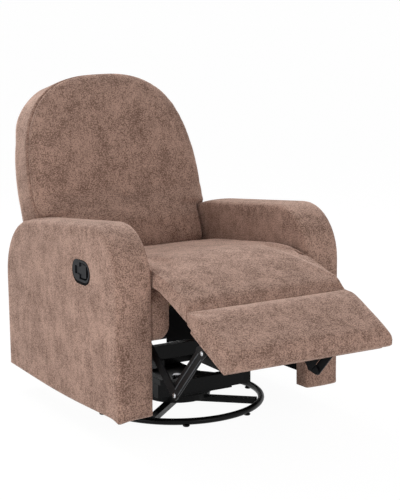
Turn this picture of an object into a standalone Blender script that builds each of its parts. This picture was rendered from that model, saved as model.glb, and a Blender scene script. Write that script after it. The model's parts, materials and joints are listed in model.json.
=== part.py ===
"""Rocker recliner on a swivel ring base, with its footrest raised and its back upright.

X runs across the chair, -Y is its front and +Z is up, in metres. Left and right are the sitter's.
Places are worked out from the point on the floor under the swivel. At the end the whole chair is set back,
so that the origin is on the floor under the middle of its raised length.
"""

from math import atan2, cos, hypot, pi, radians, sin, sqrt, tan

import bmesh
import bpy
from mathutils import Matrix, Vector

# Clearances
FIT_GAP = 0.0003
PIVOT_GAP = 0.0003
LAYER_GAP = 0.001

# Base on the floor
GLIDE_HEIGHT = 0.005
# From the chair's width to the front and rear glides
GLIDE_ANGLE = radians(66)
GLIDE_RADIUS = 0.011
RING_RADIUS = 0.275
RING_TUBE = 0.0105
SPOKE_WIDTH = 0.026
SPOKE_HEIGHT = 0.018
# From the chair's width to a spoke
SPOKE_ANGLE = radians(42)

# Swivel
LOWER_RACE_RADIUS = 0.108
LOWER_RACE_HEIGHT = 0.022
UPPER_RACE_RADIUS = 0.122
UPPER_RACE_HEIGHT = 0.028
RACE_GROOVE = 0.004
KING_BOLT_RADIUS = 0.008
KING_BOLT_HEAD = 0.016
KING_BOLT_HEAD_HEIGHT = 0.010

# Turntable that carries the rocker
TURNTABLE_WIDTH = 0.200
TURNTABLE_THICK = 0.005
CROSS_RAIL_SPACING = 0.330
CROSS_RAIL_DEPTH = 0.030
CROSS_RAIL_HEIGHT = 0.045
BASE_RAIL_SPACING = 0.316
BASE_RAIL_WIDTH = 0.026
BASE_RAIL_HEIGHT = 0.018
BASE_RAIL_OVERHANG = 0.030
BASE_RAIL_WEB = 0.006

# Rocker
ROCKER_RADIUS = 0.450
CAM_THICK = 0.016
CAM_OVERHANG = 0.020
CAM_HEIGHT = 0.060
CROSS_TUBE = 0.025
CROSS_TUBE_HEIGHT = 0.044
SPRING_SETIN = 0.038
SPRING_RADIUS = 0.016
SPRING_WIRE = 0.0022
SPRING_TURNS = 7

# Seat box
SEAT_GAP = 0.554
SEAT_RAIL_WIDTH = 0.061
SEAT_RAIL_FRONT = -0.338
SEAT_RAIL_REAR = 0.265
SEAT_RAIL_BOTTOM = 0.322
SEAT_FRONT_HEIGHT = 0.418
SEAT_REAR_HEIGHT = 0.362
SEAT_CROSS_DEPTH = 0.025
SEAT_CROSS_BOTTOM = 0.330
SEAT_FRONT_CROSS_Y = -0.300
DECK_THICK = 0.008
DUST_THICK = 0.002
DUST_FRONT_HEIGHT = 0.070
DUST_APRON = 0.030
DUST_MARGIN = 0.001

# Arms
OVERALL_WIDTH = 0.790
ARM_FRONT = -0.345
ARM_REAR = 0.447
ARM_BOTTOM = 0.089
ARM_SAG = 0.009
ARM_SAG_ROUND = 6.0
ARM_FRONT_HEIGHT = 0.673
ARM_REAR_HEIGHT = 0.590
ARM_FRONT_ROUND = 0.160
ARM_REAR_ROUND = 0.198
ARM_FOOT_ROUND = 0.008
ARM_EDGE = 0.009
ARM_PAD = 0.018
# The inner side is open below the skirt line, between a post at each end
ARM_SKIRT = 0.170
ARM_POST = 0.066
ARM_FRAME_THICK = 0.020
ARM_FRAME_BAR = 0.060

# Handle on the right arm
HANDLE_Y = -0.115
HANDLE_HEIGHT = 0.504
CUP_LENGTH = 0.117
CUP_WIDTH = 0.068
CUP_LIP = 0.006
CUP_LIP_THICK = 0.003
CUP_DEPTH = 0.034
CUP_WALL = 0.0025
LEVER_THICK = 0.008
LEVER_NECK = 0.022
LEVER_TAB = 0.046
LEVER_TAB_LENGTH = 0.037
LEVER_LENGTH = 0.060
LEVER_SLOT = 0.0015
LEVER_PIN_RADIUS = 0.0025
LEVER_PIN_SETBACK = 0.030

# Back, measured along its own tilted plane from the point at BACK_Y and BACK_HEIGHT
BACK_Y = 0.337
BACK_HEIGHT = 0.500
BACK_TILT = radians(19.2)
BACK_WIDTH = 0.648
BACK_LOW_WIDTH = 0.540
BACK_BOTTOM = -0.100
BACK_STEP = 0.090
BACK_STEP_RISE = 0.014
BACK_SHOULDER = 0.127
BACK_ARCH = 0.441
BACK_ARCH_POWER = 2.8
BACK_DEPTH = 0.113
BACK_CUSHION_DEPTH = 0.030
BACK_CROWN = 0.034
# Shares of the outline and of the crown, from the edge to the middle
BACK_CROWN_STEPS = ((0.97, 0.3), (0.9, 0.6), (0.72, 0.86), (0.4, 0.98))
BACK_REAR_CROWN = 0.008
BACK_WALL = 0.018
BACK_REAR_WALL = 0.014
BACK_FRAME_THICK = 0.024
BACK_FRAME_BAR = 0.070
BACK_PIVOT_DROP = 0.055
BACK_PIVOT_DEPTH = 0.040
BACK_BOLT_RADIUS = 0.005
BACK_BOLT_HEAD = 0.009
BACK_BOLT_HEAD_THICK = 0.005
BRACKET_FLANGE_WIDTH = 0.050
BRACKET_FLANGE_LENGTH = 0.070

# Seat cushion and chaise pad, as heights along their side edges
SEAT_BACK_GAP = 0.022
SEAT_REAR = BACK_Y - BACK_CROWN - SEAT_BACK_GAP
SEAT_TOP_REAR = 0.452
SEAT_TOP_MIDDLE = 0.506
SEAT_TOP_CREST = 0.524
SEAT_TOP_FRONT = 0.512
SEAT_CREST_Y = -0.200
SEAT_UNDERCUT = 0.055
SEAT_CROWN = 0.018
# Shares of a pad's half width and of its crown, from its side to its middle
PAD_ENDS = ((1.0, -0.35), (0.985, 0.1), (0.94, 0.4), (0.78, 0.7), (0.42, 0.94))
SEAT_SIDE_GAP = 0.004
CHAISE_UNDER = 0.042
CHAISE_CROWN = 0.014
CHAISE_HINGE_DROP = 0.007
CREASE_TOP = (-0.534, 0.439)
CREASE_BOTTOM = (-0.552, 0.409)
CREASE_GAP = 0.0015

# Footrest, in its own plane from the rear lower corner of its board
FOOTREST_CORNER = (-0.556, 0.388)
FOOTREST_SLOPE = radians(24)
FOOTREST_LENGTH = 0.228
FOOTREST_WIDTH = 0.556
FOOTREST_PAD_EDGE = 0.042
FOOTREST_CROWN = 0.014
BOARD_THICK = 0.016
BOARD_LENGTH = 0.202
BOARD_MARGIN = 0.003

# Footrest linkage, pivots on the side view as (y, height)
FOLDED_CORNER = (-0.352, 0.330)
FOLDED_SLOPE = radians(90)
REAR_PIVOT = (-0.251, 0.302)
KNEE_PIVOT = (-0.4345, 0.1697)
TOE_PIVOT_ALONG = 0.0567
TOE_PIVOT_DROP = 0.033
HEEL_PIVOT_ALONG = 0.030
HEEL_PIVOT_DROP = 0.045
CRANK_HEIGHT = 0.1748
PLATE_SETIN = 0.015
PLATE_THICK = 0.004
LINK_THICK = 0.004
LINK_HALF_WIDTH = 0.011
FRONT_LINK_HALF_WIDTH = 0.015
PIVOT_BOSS = 0.013
PIVOT_RADIUS = 0.005
RIVET_HEAD = 0.003
TORQUE_TUBE_RADIUS = 0.010
FLANGE_WIDTH = 0.022

# Side plates, as margins round what they carry
PLATE_MARGIN = 0.020

# Swivel axis behind the middle of the chair's raised length
SWIVEL_SETBACK = 0.076

ROUND_STEPS = 12
SIDES = (("left", 1), ("right", -1))

# Heights that follow from the stack on the floor
RING_Z = GLIDE_HEIGHT + FIT_GAP + RING_TUBE
SPOKE_TOP = RING_Z + SPOKE_HEIGHT / 2
LOWER_RACE_Z = SPOKE_TOP + FIT_GAP
UPPER_RACE_Z = LOWER_RACE_Z + LOWER_RACE_HEIGHT + FIT_GAP
TURNTABLE_Z = UPPER_RACE_Z + UPPER_RACE_HEIGHT + FIT_GAP
CROSS_RAIL_Z = TURNTABLE_Z + TURNTABLE_THICK + FIT_GAP
BASE_RAIL_Z = CROSS_RAIL_Z + CROSS_RAIL_HEIGHT + FIT_GAP
CAM_Z = BASE_RAIL_Z + BASE_RAIL_HEIGHT + FIT_GAP
TUBE_Z = CAM_Z + CAM_HEIGHT + FIT_GAP
ROCK_AXIS = (0.0, CAM_Z + ROCKER_RADIUS)

# Places across the chair
ARM_INNER = SEAT_GAP / 2
ARM_OUTER = OVERALL_WIDTH / 2
RAIL_OUTER = ARM_INNER - FIT_GAP
RAIL_INNER = RAIL_OUTER - SEAT_RAIL_WIDTH
PLATE_OUTER = ARM_INNER - PLATE_SETIN
PLATE_INNER = PLATE_OUTER - PLATE_THICK
TUBE_Y = CROSS_RAIL_SPACING / 2
BASE_RAIL_X = BASE_RAIL_SPACING / 2
SPRING_X = BASE_RAIL_X - SPRING_SETIN


def paint(name, colour, roughness, metallic=0.0):
    material = bpy.data.materials.new(name)
    material.use_nodes = True
    shader = material.node_tree.nodes["Principled BSDF"]
    shader.inputs["Base Color"].default_value = (*colour, 1)
    shader.inputs["Roughness"].default_value = roughness
    shader.inputs["Metallic"].default_value = metallic
    return material


FABRIC = paint("taupe_chenille", (0.25, 0.17, 0.135), 0.95)
CLOTH = paint("black_dust_cloth", (0.012, 0.012, 0.012), 0.9)
STEEL = paint("black_painted_steel", (0.012, 0.012, 0.013), 0.35, 0.4)
ZINC = paint("zinc_plated_steel", (0.55, 0.55, 0.56), 0.35, 1.0)
WOOD = paint("plywood", (0.52, 0.36, 0.2), 0.7)
PLASTIC = paint("charcoal_plastic", (0.02, 0.021, 0.023), 0.4)
RUBBER = paint("black_glide", (0.015, 0.015, 0.015), 0.6)


def pivot_empty(name, place):
    """A marker on a joint's axis that the moving pieces hang from."""
    empty = bpy.data.objects.new(name, None)
    empty.location = place
    bpy.context.collection.objects.link(empty)
    bpy.context.view_layer.update()
    return empty


def solid(name, bm, material, parent=None):
    bmesh.ops.recalc_face_normals(bm, faces=bm.faces)
    mesh = bpy.data.meshes.new(name)
    bm.to_mesh(mesh)
    bm.free()
    mesh.materials.append(material)
    mesh.shade_smooth()
    mesh.set_sharp_from_angle(angle=radians(35))
    obj = bpy.data.objects.new(name, mesh)
    bpy.context.collection.objects.link(obj)
    if parent:
        obj.parent = parent
        obj.matrix_parent_inverse = parent.matrix_world.inverted()
    return obj


def loft(name, loops, material, parent=None, ring=False, tip=None):
    """Skin the loops of points in order; a ring joins its last loop to its first, otherwise ends are capped."""
    bm = bmesh.new()
    rows = [[bm.verts.new(p) for p in loop] for loop in loops]
    pairs = list(zip(rows, rows[1:]))
    if ring:
        pairs.append((rows[-1], rows[0]))
    count = len(rows[0])
    for low, high in pairs:
        for i in range(count):
            j = (i + 1) % count
            bm.faces.new((low[i], low[j], high[j], high[i]))
    if not ring:
        bm.faces.new(rows[0][::-1])
        if tip is None:
            bm.faces.new(rows[-1])
        else:
            point = bm.verts.new(tip)
            for i in range(count):
                bm.faces.new((rows[-1][i], rows[-1][(i + 1) % count], point))
    return solid(name, bm, material, parent)


def prism(name, outline, x_from, x_to, material, parent=None):
    """A side-view outline of (y, height) points carried across the chair."""
    loops = [[(x, y, z) for y, z in outline] for x in (x_from, x_to)]
    return loft(name, loops, material, parent)


def block(name, low, high, material, parent=None):
    outline = [(low[1], low[2]), (high[1], low[2]), (high[1], high[2]), (low[1], high[2])]
    return prism(name, outline, low[0], high[0], material, parent)


def circle(centre, radius, steps=ROUND_STEPS):
    turns = [2 * pi * i / steps for i in range(steps)]
    return [(centre[0] + radius * cos(a), centre[1] + radius * sin(a)) for a in turns]


def turned(name, profile, material, parent=None, steps=32, ring=False, at=(0, 0)):
    """A profile of (radius, height) points turned about an upright axis."""
    turns = [2 * pi * i / steps for i in range(steps)]
    loops = [[(at[0] + r * cos(a), at[1] + r * sin(a), z) for a in turns] for r, z in profile]
    return loft(name, loops, material, parent, ring=ring)


def rounded(corners, steps=7):
    """An outline of (y, height, radius) corners with its corners filleted."""
    points = []
    for i, (y, z, radius) in enumerate(corners):
        here = Vector((y, z))
        back = (Vector(corners[i - 1][:2]) - here).normalized()
        ahead = (Vector(corners[(i + 1) % len(corners)][:2]) - here).normalized()
        half = back.angle(ahead) / 2
        centre = here + (back + ahead).normalized() * radius / sin(half)
        start = here + back * radius / tan(half) - centre
        sweep = start.angle_signed(here + ahead * radius / tan(half) - centre)
        for k in range(steps + 1):
            points.append(tuple(centre + Matrix.Rotation(-sweep * k / steps, 2) @ start))
    return points


def hull(circles):
    """The tight outline round some (centre, radius) circles."""
    points = sorted(p for centre, radius in circles for p in circle(centre, radius, 2 * ROUND_STEPS))

    def half(run):
        kept = []
        for p in run:
            while len(kept) > 1 and cross(kept[-2], kept[-1], p) <= 0:
                kept.pop()
            kept.append(p)
        return kept[:-1]

    return half(points) + half(points[::-1])


def cross(a, b, c):
    return (b[0] - a[0]) * (c[1] - a[1]) - (b[1] - a[1]) * (c[0] - a[0])


def combine(target, tool, operation):
    tool.hide_render = True
    tool.display_type = "WIRE"
    change = target.modifiers.new(operation.lower(), "BOOLEAN")
    change.operation = operation
    change.solver = "EXACT"
    change.object = tool


def drill(target, centre, radius, x_from, x_to):
    tool = prism(target.name + "_drill", circle(centre, radius), x_from, x_to, STEEL)
    combine(target, tool, "DIFFERENCE")


def stud(target, centre, radius, x_from, x_to):
    tool = prism(target.name + "_stud", circle(centre, radius), x_from, x_to, STEEL)
    combine(target, tool, "UNION")


def stadium(centre, length, width, steps=8):
    """A lying oval of (y, height) points."""
    reach = (length - width) / 2
    points = []
    for end in (1, -1):
        for k in range(steps + 1):
            a = pi * k / steps - pi / 2
            points.append((centre[0] + end * (reach + width / 2 * cos(a)), centre[1] + end * width / 2 * sin(a)))
    return points


def padded(name, outline, half_width, crown, parent=None):
    """A cushion skinned across the chair: its ends shrink, its sides draw in and its middle rises.

    The outline holds (y, height, share of the crown) points.
    """
    stations = [*PAD_ENDS, (0.0, 1.0), *((-share, rise) for share, rise in PAD_ENDS[::-1])]
    draw_in = 0.012
    first = min(p[0] for p in outline)
    span = max(p[0] for p in outline) - first
    loops = []
    for share, rise in stations:
        width = share * half_width
        loops.append([(width * (1 - draw_in * sin(pi * (y - first) / span)), y, z + crown * rise * lift)
                      for y, z, lift in outline])
    return loft(name, loops, FABRIC, parent)


def seat_line(y):
    """Height of the seat rails' sloping top."""
    share = (y - SEAT_RAIL_FRONT) / (SEAT_RAIL_REAR - SEAT_RAIL_FRONT)
    return SEAT_FRONT_HEIGHT + (SEAT_REAR_HEIGHT - SEAT_FRONT_HEIGHT) * share


# Footrest linkage on the side view


def on_footrest(along, above, corner=FOOTREST_CORNER, slope=FOOTREST_SLOPE):
    """The (y, height) of a point along the footrest's board and above its underside."""
    y = corner[0] - along * cos(slope) - above * sin(slope)
    return y, corner[1] - along * sin(slope) + above * cos(slope)


def folded(along, above):
    return on_footrest(along, above, FOLDED_CORNER, FOLDED_SLOPE)


def turn_about(point, centre, angle):
    dy, dz = point[0] - centre[0], point[1] - centre[1]
    return centre[0] + dy * cos(angle) - dz * sin(angle), centre[1] + dy * sin(angle) + dz * cos(angle)


def bearing(start, end):
    return atan2(end[1] - start[1], end[0] - start[0])


def span_between(a, b):
    return hypot(b[0] - a[0], b[1] - a[1])


def lower_meeting(a, reach_a, b, reach_b):
    """Where two circles meet, on the side below the line between their centres."""
    gap = span_between(a, b)
    along = (gap**2 + reach_a**2 - reach_b**2) / (2 * gap)
    aside = sqrt(reach_a**2 - along**2)
    uy, uz = (b[0] - a[0]) / gap, (b[1] - a[1]) / gap
    meets = [(a[0] + along * uy - s * aside * uz, a[1] + along * uz + s * aside * uy) for s in (1, -1)]
    return min(meets, key=lambda p: p[1])


def even_point(a, b, height):
    """The point at a given height that is as far from a as from b."""
    middle_y, middle_z = (a[0] + b[0]) / 2, (a[1] + b[1]) / 2
    return middle_y - (height - middle_z) * (b[1] - a[1]) / (b[0] - a[0]), height


TOE_PIVOT = on_footrest(TOE_PIVOT_ALONG, -TOE_PIVOT_DROP)
TOE_FOLDED = folded(TOE_PIVOT_ALONG, -TOE_PIVOT_DROP)
HEEL_PIVOT = on_footrest(HEEL_PIVOT_ALONG, -HEEL_PIVOT_DROP)
HEEL_FOLDED = folded(HEEL_PIVOT_ALONG, -HEEL_PIVOT_DROP)
REAR_LINK = span_between(REAR_PIVOT, KNEE_PIVOT)
FRONT_LINK = span_between(KNEE_PIVOT, TOE_PIVOT)
KNEE_FOLDED = lower_meeting(REAR_PIVOT, REAR_LINK, TOE_FOLDED, FRONT_LINK)
REAR_TURN = bearing(REAR_PIVOT, KNEE_FOLDED) - bearing(REAR_PIVOT, KNEE_PIVOT)
FRONT_TURN = bearing(KNEE_FOLDED, TOE_FOLDED) - bearing(KNEE_PIVOT, TOE_PIVOT)
HEEL_ON_CRANK = turn_about(HEEL_FOLDED, REAR_PIVOT, -REAR_TURN)
CRANK_PIVOT = even_point(HEEL_PIVOT, HEEL_ON_CRANK, CRANK_HEIGHT)
CRANK_FOLDED = turn_about(CRANK_PIVOT, REAR_PIVOT, REAR_TURN)
HEEL_TURN = bearing(CRANK_FOLDED, HEEL_FOLDED) - bearing(CRANK_PIVOT, HEEL_PIVOT)
FOLD_TURN = FOLDED_SLOPE - FOOTREST_SLOPE


def layer(number):
    """Inner and outer face of a link layer, counted inwards from the side plate."""
    outer = PLATE_INNER - LAYER_GAP - number * (LINK_THICK + LAYER_GAP)
    return outer - LINK_THICK, outer


FRONT_LAYER, REAR_LAYER, UPPER_LAYER = (layer(i) for i in range(3))


def on_back(across, up, forward):
    """A point on the tilted back, from the middle of its front edge plane."""
    y = BACK_Y + up * sin(BACK_TILT) - forward * cos(BACK_TILT)
    return across, y, BACK_HEIGHT + up * cos(BACK_TILT) + forward * sin(BACK_TILT)


BACK_PIVOT = on_back(0, BACK_BOTTOM - BACK_PIVOT_DROP, -BACK_PIVOT_DEPTH)[1:]
CHAISE_HINGE = (ARM_FRONT, SEAT_TOP_FRONT - CHAISE_HINGE_DROP)


# Base on the floor


def make_base():
    steps = 40
    tube = [(RING_RADIUS + RING_TUBE * cos(a), RING_Z + RING_TUBE * sin(a)) for a in
            (2 * pi * i / 8 for i in range(8))]
    turned("base_ring", tube[::-1], STEEL, steps=steps, ring=True)
    reach = (RING_RADIUS - RING_TUBE) * cos(pi / steps) - FIT_GAP
    low, high = RING_Z - SPOKE_HEIGHT / 2, SPOKE_TOP
    spokes = []
    for name, angle in (("base_cross", SPOKE_ANGLE), ("base_cross_arm", -SPOKE_ANGLE)):
        spoke = block(name, (-reach, -SPOKE_WIDTH / 2, low), (reach, SPOKE_WIDTH / 2, high), STEEL)
        spoke.matrix_world = Matrix.Rotation(angle, 4, "Z")
        spokes.append(spoke)
    combine(*spokes, "UNION")
    glide_angles = (GLIDE_ANGLE, pi - GLIDE_ANGLE, pi + GLIDE_ANGLE, -GLIDE_ANGLE, 0.0, pi)
    for i, angle in enumerate(glide_angles):
        place = (RING_RADIUS * cos(angle), RING_RADIUS * sin(angle))
        profile = [(GLIDE_RADIUS * 0.8, 0), (GLIDE_RADIUS, GLIDE_HEIGHT / 3), (GLIDE_RADIUS, GLIDE_HEIGHT)]
        turned(f"floor_glide_{i + 1}", profile, RUBBER, steps=ROUND_STEPS, at=place)


def make_swivel(turntable):
    bore = KING_BOLT_RADIUS + PIVOT_GAP
    top = LOWER_RACE_Z + LOWER_RACE_HEIGHT
    lower = [(LOWER_RACE_RADIUS, top), (LOWER_RACE_RADIUS, LOWER_RACE_Z), (bore, LOWER_RACE_Z), (bore, top)]
    turned("swivel_lower_race", lower, STEEL, ring=True)
    rim = UPPER_RACE_RADIUS
    neck = rim - RACE_GROOVE
    low, high = UPPER_RACE_Z, UPPER_RACE_Z + UPPER_RACE_HEIGHT
    step = UPPER_RACE_HEIGHT / 5
    ribs = [(rim, high), (rim, high - step), (neck, high - step), (neck, high - 2 * step), (rim, high - 2 * step),
            (rim, low + 2 * step), (neck, low + 2 * step), (neck, low + step), (rim, low + step), (rim, low)]
    turned("swivel_upper_race", [*ribs, (bore, low), (bore, high)], STEEL, turntable, ring=True)
    seat = CROSS_RAIL_Z
    cap = seat + KING_BOLT_HEAD_HEIGHT
    bolt = [(KING_BOLT_HEAD * 0.85, cap), (KING_BOLT_HEAD, cap - KING_BOLT_HEAD_HEIGHT / 3), (KING_BOLT_HEAD, seat),
            (KING_BOLT_RADIUS, seat), (KING_BOLT_RADIUS, LOWER_RACE_Z)]
    turned("king_bolt", bolt, ZINC, steps=16)


# Turntable


def make_turntable(turntable):
    rail_half = CROSS_RAIL_DEPTH / 2
    half_x, half_y = TURNTABLE_WIDTH / 2, TUBE_Y + rail_half
    plate = block("turntable_plate", (-half_x, -half_y, TURNTABLE_Z),
                  (half_x, half_y, TURNTABLE_Z + TURNTABLE_THICK), STEEL, turntable)
    bore = KING_BOLT_RADIUS + PIVOT_GAP
    hole = [(bore, TURNTABLE_Z + 2 * TURNTABLE_THICK), (bore, TURNTABLE_Z - TURNTABLE_THICK)]
    combine(plate, turned("turntable_bore", hole, STEEL, steps=16), "DIFFERENCE")
    reach = BASE_RAIL_X + BASE_RAIL_WIDTH / 2
    for name, y in (("front", -TUBE_Y), ("rear", TUBE_Y)):
        block(f"{name}_cross_rail", (-reach, y - rail_half, CROSS_RAIL_Z),
              (reach, y + rail_half, CROSS_RAIL_Z + CROSS_RAIL_HEIGHT), STEEL, turntable)
    length = TUBE_Y + BASE_RAIL_OVERHANG
    for name, side in SIDES:
        edges = sorted(side * (BASE_RAIL_X + s * BASE_RAIL_WIDTH / 2) for s in (1, -1))
        rail = block(f"base_rail_{name}", (edges[0], -length, BASE_RAIL_Z),
                     (edges[1], length, BASE_RAIL_Z + BASE_RAIL_HEIGHT), STEEL, turntable)
        edges = sorted(side * (BASE_RAIL_X + s * BASE_RAIL_WEB / 2) for s in (1, -1))
        inside = TUBE_Y - rail_half - FIT_GAP
        web = block(f"rail_web_{name}", (edges[0], -inside, CROSS_RAIL_Z),
                    (edges[1], inside, BASE_RAIL_Z + BASE_RAIL_HEIGHT / 2), STEEL)
        combine(rail, web, "UNION")


def make_springs(turntable):
    low = BASE_RAIL_Z + SPRING_WIRE
    high = TUBE_Z - FIT_GAP - SPRING_WIRE
    points_per_turn = 9
    count = SPRING_TURNS * points_per_turn
    for name, side in SIDES:
        curve = bpy.data.curves.new(f"rocker_spring_{name}", "CURVE")
        curve.dimensions = "3D"
        curve.bevel_depth = SPRING_WIRE
        curve.bevel_resolution = 1
        curve.use_fill_caps = True
        spline = curve.splines.new("POLY")
        spline.points.add(count)
        for i, point in enumerate(spline.points):
            angle = 2 * pi * i / points_per_turn
            x = side * SPRING_X + SPRING_RADIUS * cos(angle)
            point.co = (x, TUBE_Y + SPRING_RADIUS * sin(angle), low + (high - low) * i / count, 1)
        curve.materials.append(ZINC)
        spring = bpy.data.objects.new(curve.name, curve)
        bpy.context.collection.objects.link(spring)
        spring.parent = turntable
        spring.matrix_parent_inverse = turntable.matrix_world.inverted()
    pitch = (high - low) / SPRING_TURNS
    print(f"rocker spring coils stand {pitch - 2 * SPRING_WIRE:.4f} m apart")


# Rocker and mechanism frame


def make_rocker(rocker):
    half = TUBE_Y + CAM_OVERHANG
    swing = atan2(half, sqrt(ROCKER_RADIUS**2 - half**2))
    arc_steps = 16
    arc = [(ROCKER_RADIUS * sin(a), ROCK_AXIS[1] - ROCKER_RADIUS * cos(a)) for a in
           (swing * (2 * i / arc_steps - 1) for i in range(arc_steps + 1))]
    top = CAM_Z + CAM_HEIGHT
    for name, side in SIDES:
        inner, outer = (side * (BASE_RAIL_X + s * CAM_THICK / 2) for s in (-1, 1))
        prism(f"rocker_cam_{name}", [*arc, (half, top), (-half, top)], inner, outer, STEEL, rocker)
    reach = PLATE_INNER - FIT_GAP
    for name, y in (("front", -TUBE_Y), ("rear", TUBE_Y)):
        block(f"{name}_cross_tube", (-reach, y - CROSS_TUBE / 2, TUBE_Z),
              (reach, y + CROSS_TUBE / 2, TUBE_Z + CROSS_TUBE_HEIGHT), STEEL, rocker)


def make_side_plates(rocker):
    bay = CROSS_TUBE / 2 + PLATE_MARGIN
    foot = TUBE_Z - PLATE_MARGIN / 4
    top = SEAT_RAIL_BOTTOM - FIT_GAP
    behind = SEAT_RAIL_REAR + 2 * FIT_GAP
    boss = PIVOT_BOSS
    outline = [
        (REAR_PIVOT[0] - boss, REAR_PIVOT[1] - boss, boss * 0.9),
        (-TUBE_Y - bay, foot, boss),
        (TUBE_Y + bay, foot, boss),
        (BACK_PIVOT[0] - boss, BACK_PIVOT[1] - 3 * boss, boss),
        (BACK_PIVOT[0] + boss, BACK_PIVOT[1] - boss, boss * 0.9),
        (BACK_PIVOT[0] + boss, BACK_PIVOT[1] + boss, boss * 0.9),
        (behind, BACK_PIVOT[1] + boss, boss * 0.9),
        (behind, top, FIT_GAP),
        (REAR_PIVOT[0] - boss, top, boss * 0.4),
    ]
    for name, side in SIDES:
        plate = prism(f"side_plate_{name}", rounded(outline, 3), side * PLATE_INNER, side * PLATE_OUTER, STEEL, rocker)
        inside = side * (PLATE_INNER + PLATE_THICK / 2)
        stud(plate, REAR_PIVOT, PIVOT_RADIUS, inside, side * (REAR_LAYER[0] + FIT_GAP))
        drill(plate, BACK_PIVOT, BACK_BOLT_RADIUS + PIVOT_GAP, side * REAR_LAYER[0], side * ARM_INNER)


def make_seat_box(rocker):
    front, rear = SEAT_RAIL_FRONT, SEAT_RAIL_REAR
    rail = [(front, SEAT_RAIL_BOTTOM), (rear, SEAT_RAIL_BOTTOM), (rear, SEAT_REAR_HEIGHT), (front, SEAT_FRONT_HEIGHT)]
    for name, side in SIDES:
        prism(f"seat_rail_{name}", rail, side * RAIL_INNER, side * RAIL_OUTER, FABRIC, rocker)
    reach = RAIL_INNER - FIT_GAP
    for name, y in (("front", SEAT_FRONT_CROSS_Y), ("rear", rear - SEAT_CROSS_DEPTH / 2)):
        ends = (y - SEAT_CROSS_DEPTH / 2, y + SEAT_CROSS_DEPTH / 2)
        outline = [(ends[0], SEAT_CROSS_BOTTOM), (ends[1], SEAT_CROSS_BOTTOM)]
        outline += [(ends[1], seat_line(ends[1])), (ends[0], seat_line(ends[0]))]
        prism(f"seat_{name}_cross", outline, -reach, reach, WOOD, rocker)
    low = FIT_GAP
    high = FIT_GAP + DECK_THICK
    deck = [(y, seat_line(y) + h) for y, h in ((front, low), (rear, low), (rear, high), (front, high))]
    prism("seat_deck", deck, -RAIL_OUTER, RAIL_OUTER, WOOD, rocker)
    top = SEAT_CROSS_BOTTOM - FIT_GAP
    bottom = top - DUST_THICK
    cloth_front = SEAT_FRONT_CROSS_Y - SEAT_CROSS_DEPTH / 2 - FIT_GAP
    hem = bottom - DUST_APRON
    sheet = [(cloth_front - DUST_THICK, hem), (cloth_front, hem), (cloth_front, bottom)]
    sheet += [(rear, bottom), (rear, top), (cloth_front, top)]
    sheet += [(cloth_front, top + DUST_FRONT_HEIGHT), (cloth_front - DUST_THICK, top + DUST_FRONT_HEIGHT)]
    cloth_half = RAIL_INNER - DUST_MARGIN
    prism("dust_cover", sheet, -cloth_half, cloth_half, CLOTH, rocker)


# Arms and handle


def arm_outline(inset, bottom=None):
    slope = (ARM_REAR_HEIGHT - ARM_FRONT_HEIGHT) / (ARM_REAR - ARM_FRONT)
    drop = inset * sqrt(1 + slope**2)
    low = ARM_BOTTOM if bottom is None else bottom
    front, rear = ARM_FRONT + inset, ARM_REAR - inset
    return rounded([
        (front, low, ARM_FOOT_ROUND),
        ((front + rear) / 2, low - ARM_SAG, ARM_SAG_ROUND),
        (rear, low, ARM_FOOT_ROUND),
        (rear, ARM_REAR_HEIGHT - slope * inset - drop, ARM_REAR_ROUND - inset),
        (front, ARM_FRONT_HEIGHT + slope * inset - drop, ARM_FRONT_ROUND - inset),
    ])


def make_arms(rocker):
    for name, side in SIDES:
        faces = ((ARM_INNER, ARM_EDGE), (ARM_INNER + ARM_EDGE / 3, ARM_EDGE / 3), (ARM_INNER + ARM_EDGE, 0),
                 (ARM_OUTER - ARM_EDGE, 0), (ARM_OUTER - ARM_EDGE / 3, ARM_EDGE / 3), (ARM_OUTER, ARM_EDGE))
        loops = [[(side * x, y, z) for y, z in arm_outline(inset)] for x, inset in faces]
        cover = loft(f"arm_cover_{name}", loops, FABRIC, rocker)
        hollow = arm_outline(ARM_PAD, ARM_BOTTOM - ARM_PAD)
        wall = prism(f"arm_hollow_{name}", hollow, side * (ARM_INNER + ARM_PAD), side * (ARM_OUTER - ARM_PAD), FABRIC)
        combine(cover, wall, "DIFFERENCE")
        low = ARM_BOTTOM - ARM_PAD
        front, rear = ARM_FRONT + ARM_POST, ARM_REAR - ARM_POST
        opening = [(front, low), (rear, low), (rear, ARM_SKIRT), (front, ARM_SKIRT)]
        reach = 2 * ARM_PAD
        skirt = prism(f"arm_opening_{name}", opening, side * (ARM_INNER - reach), side * (ARM_INNER + reach), FABRIC)
        combine(cover, skirt, "DIFFERENCE")
        fit = ARM_PAD + FIT_GAP
        edge = arm_outline(fit, ARM_SKIRT + fit)
        window = arm_outline(fit + ARM_FRAME_BAR, ARM_SKIRT + fit + ARM_FRAME_BAR)
        near = side * (ARM_INNER + fit)
        far = side * (ARM_INNER + fit + ARM_FRAME_THICK)
        loops = [[(x, y, z) for y, z in line] for x, line in
                 ((near, edge), (far, edge), (far, window), (near, window))]
        loft(f"arm_frame_{name}", loops, WOOD, rocker, ring=True)
        if name == "right":
            make_cup(cover, rocker)


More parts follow.
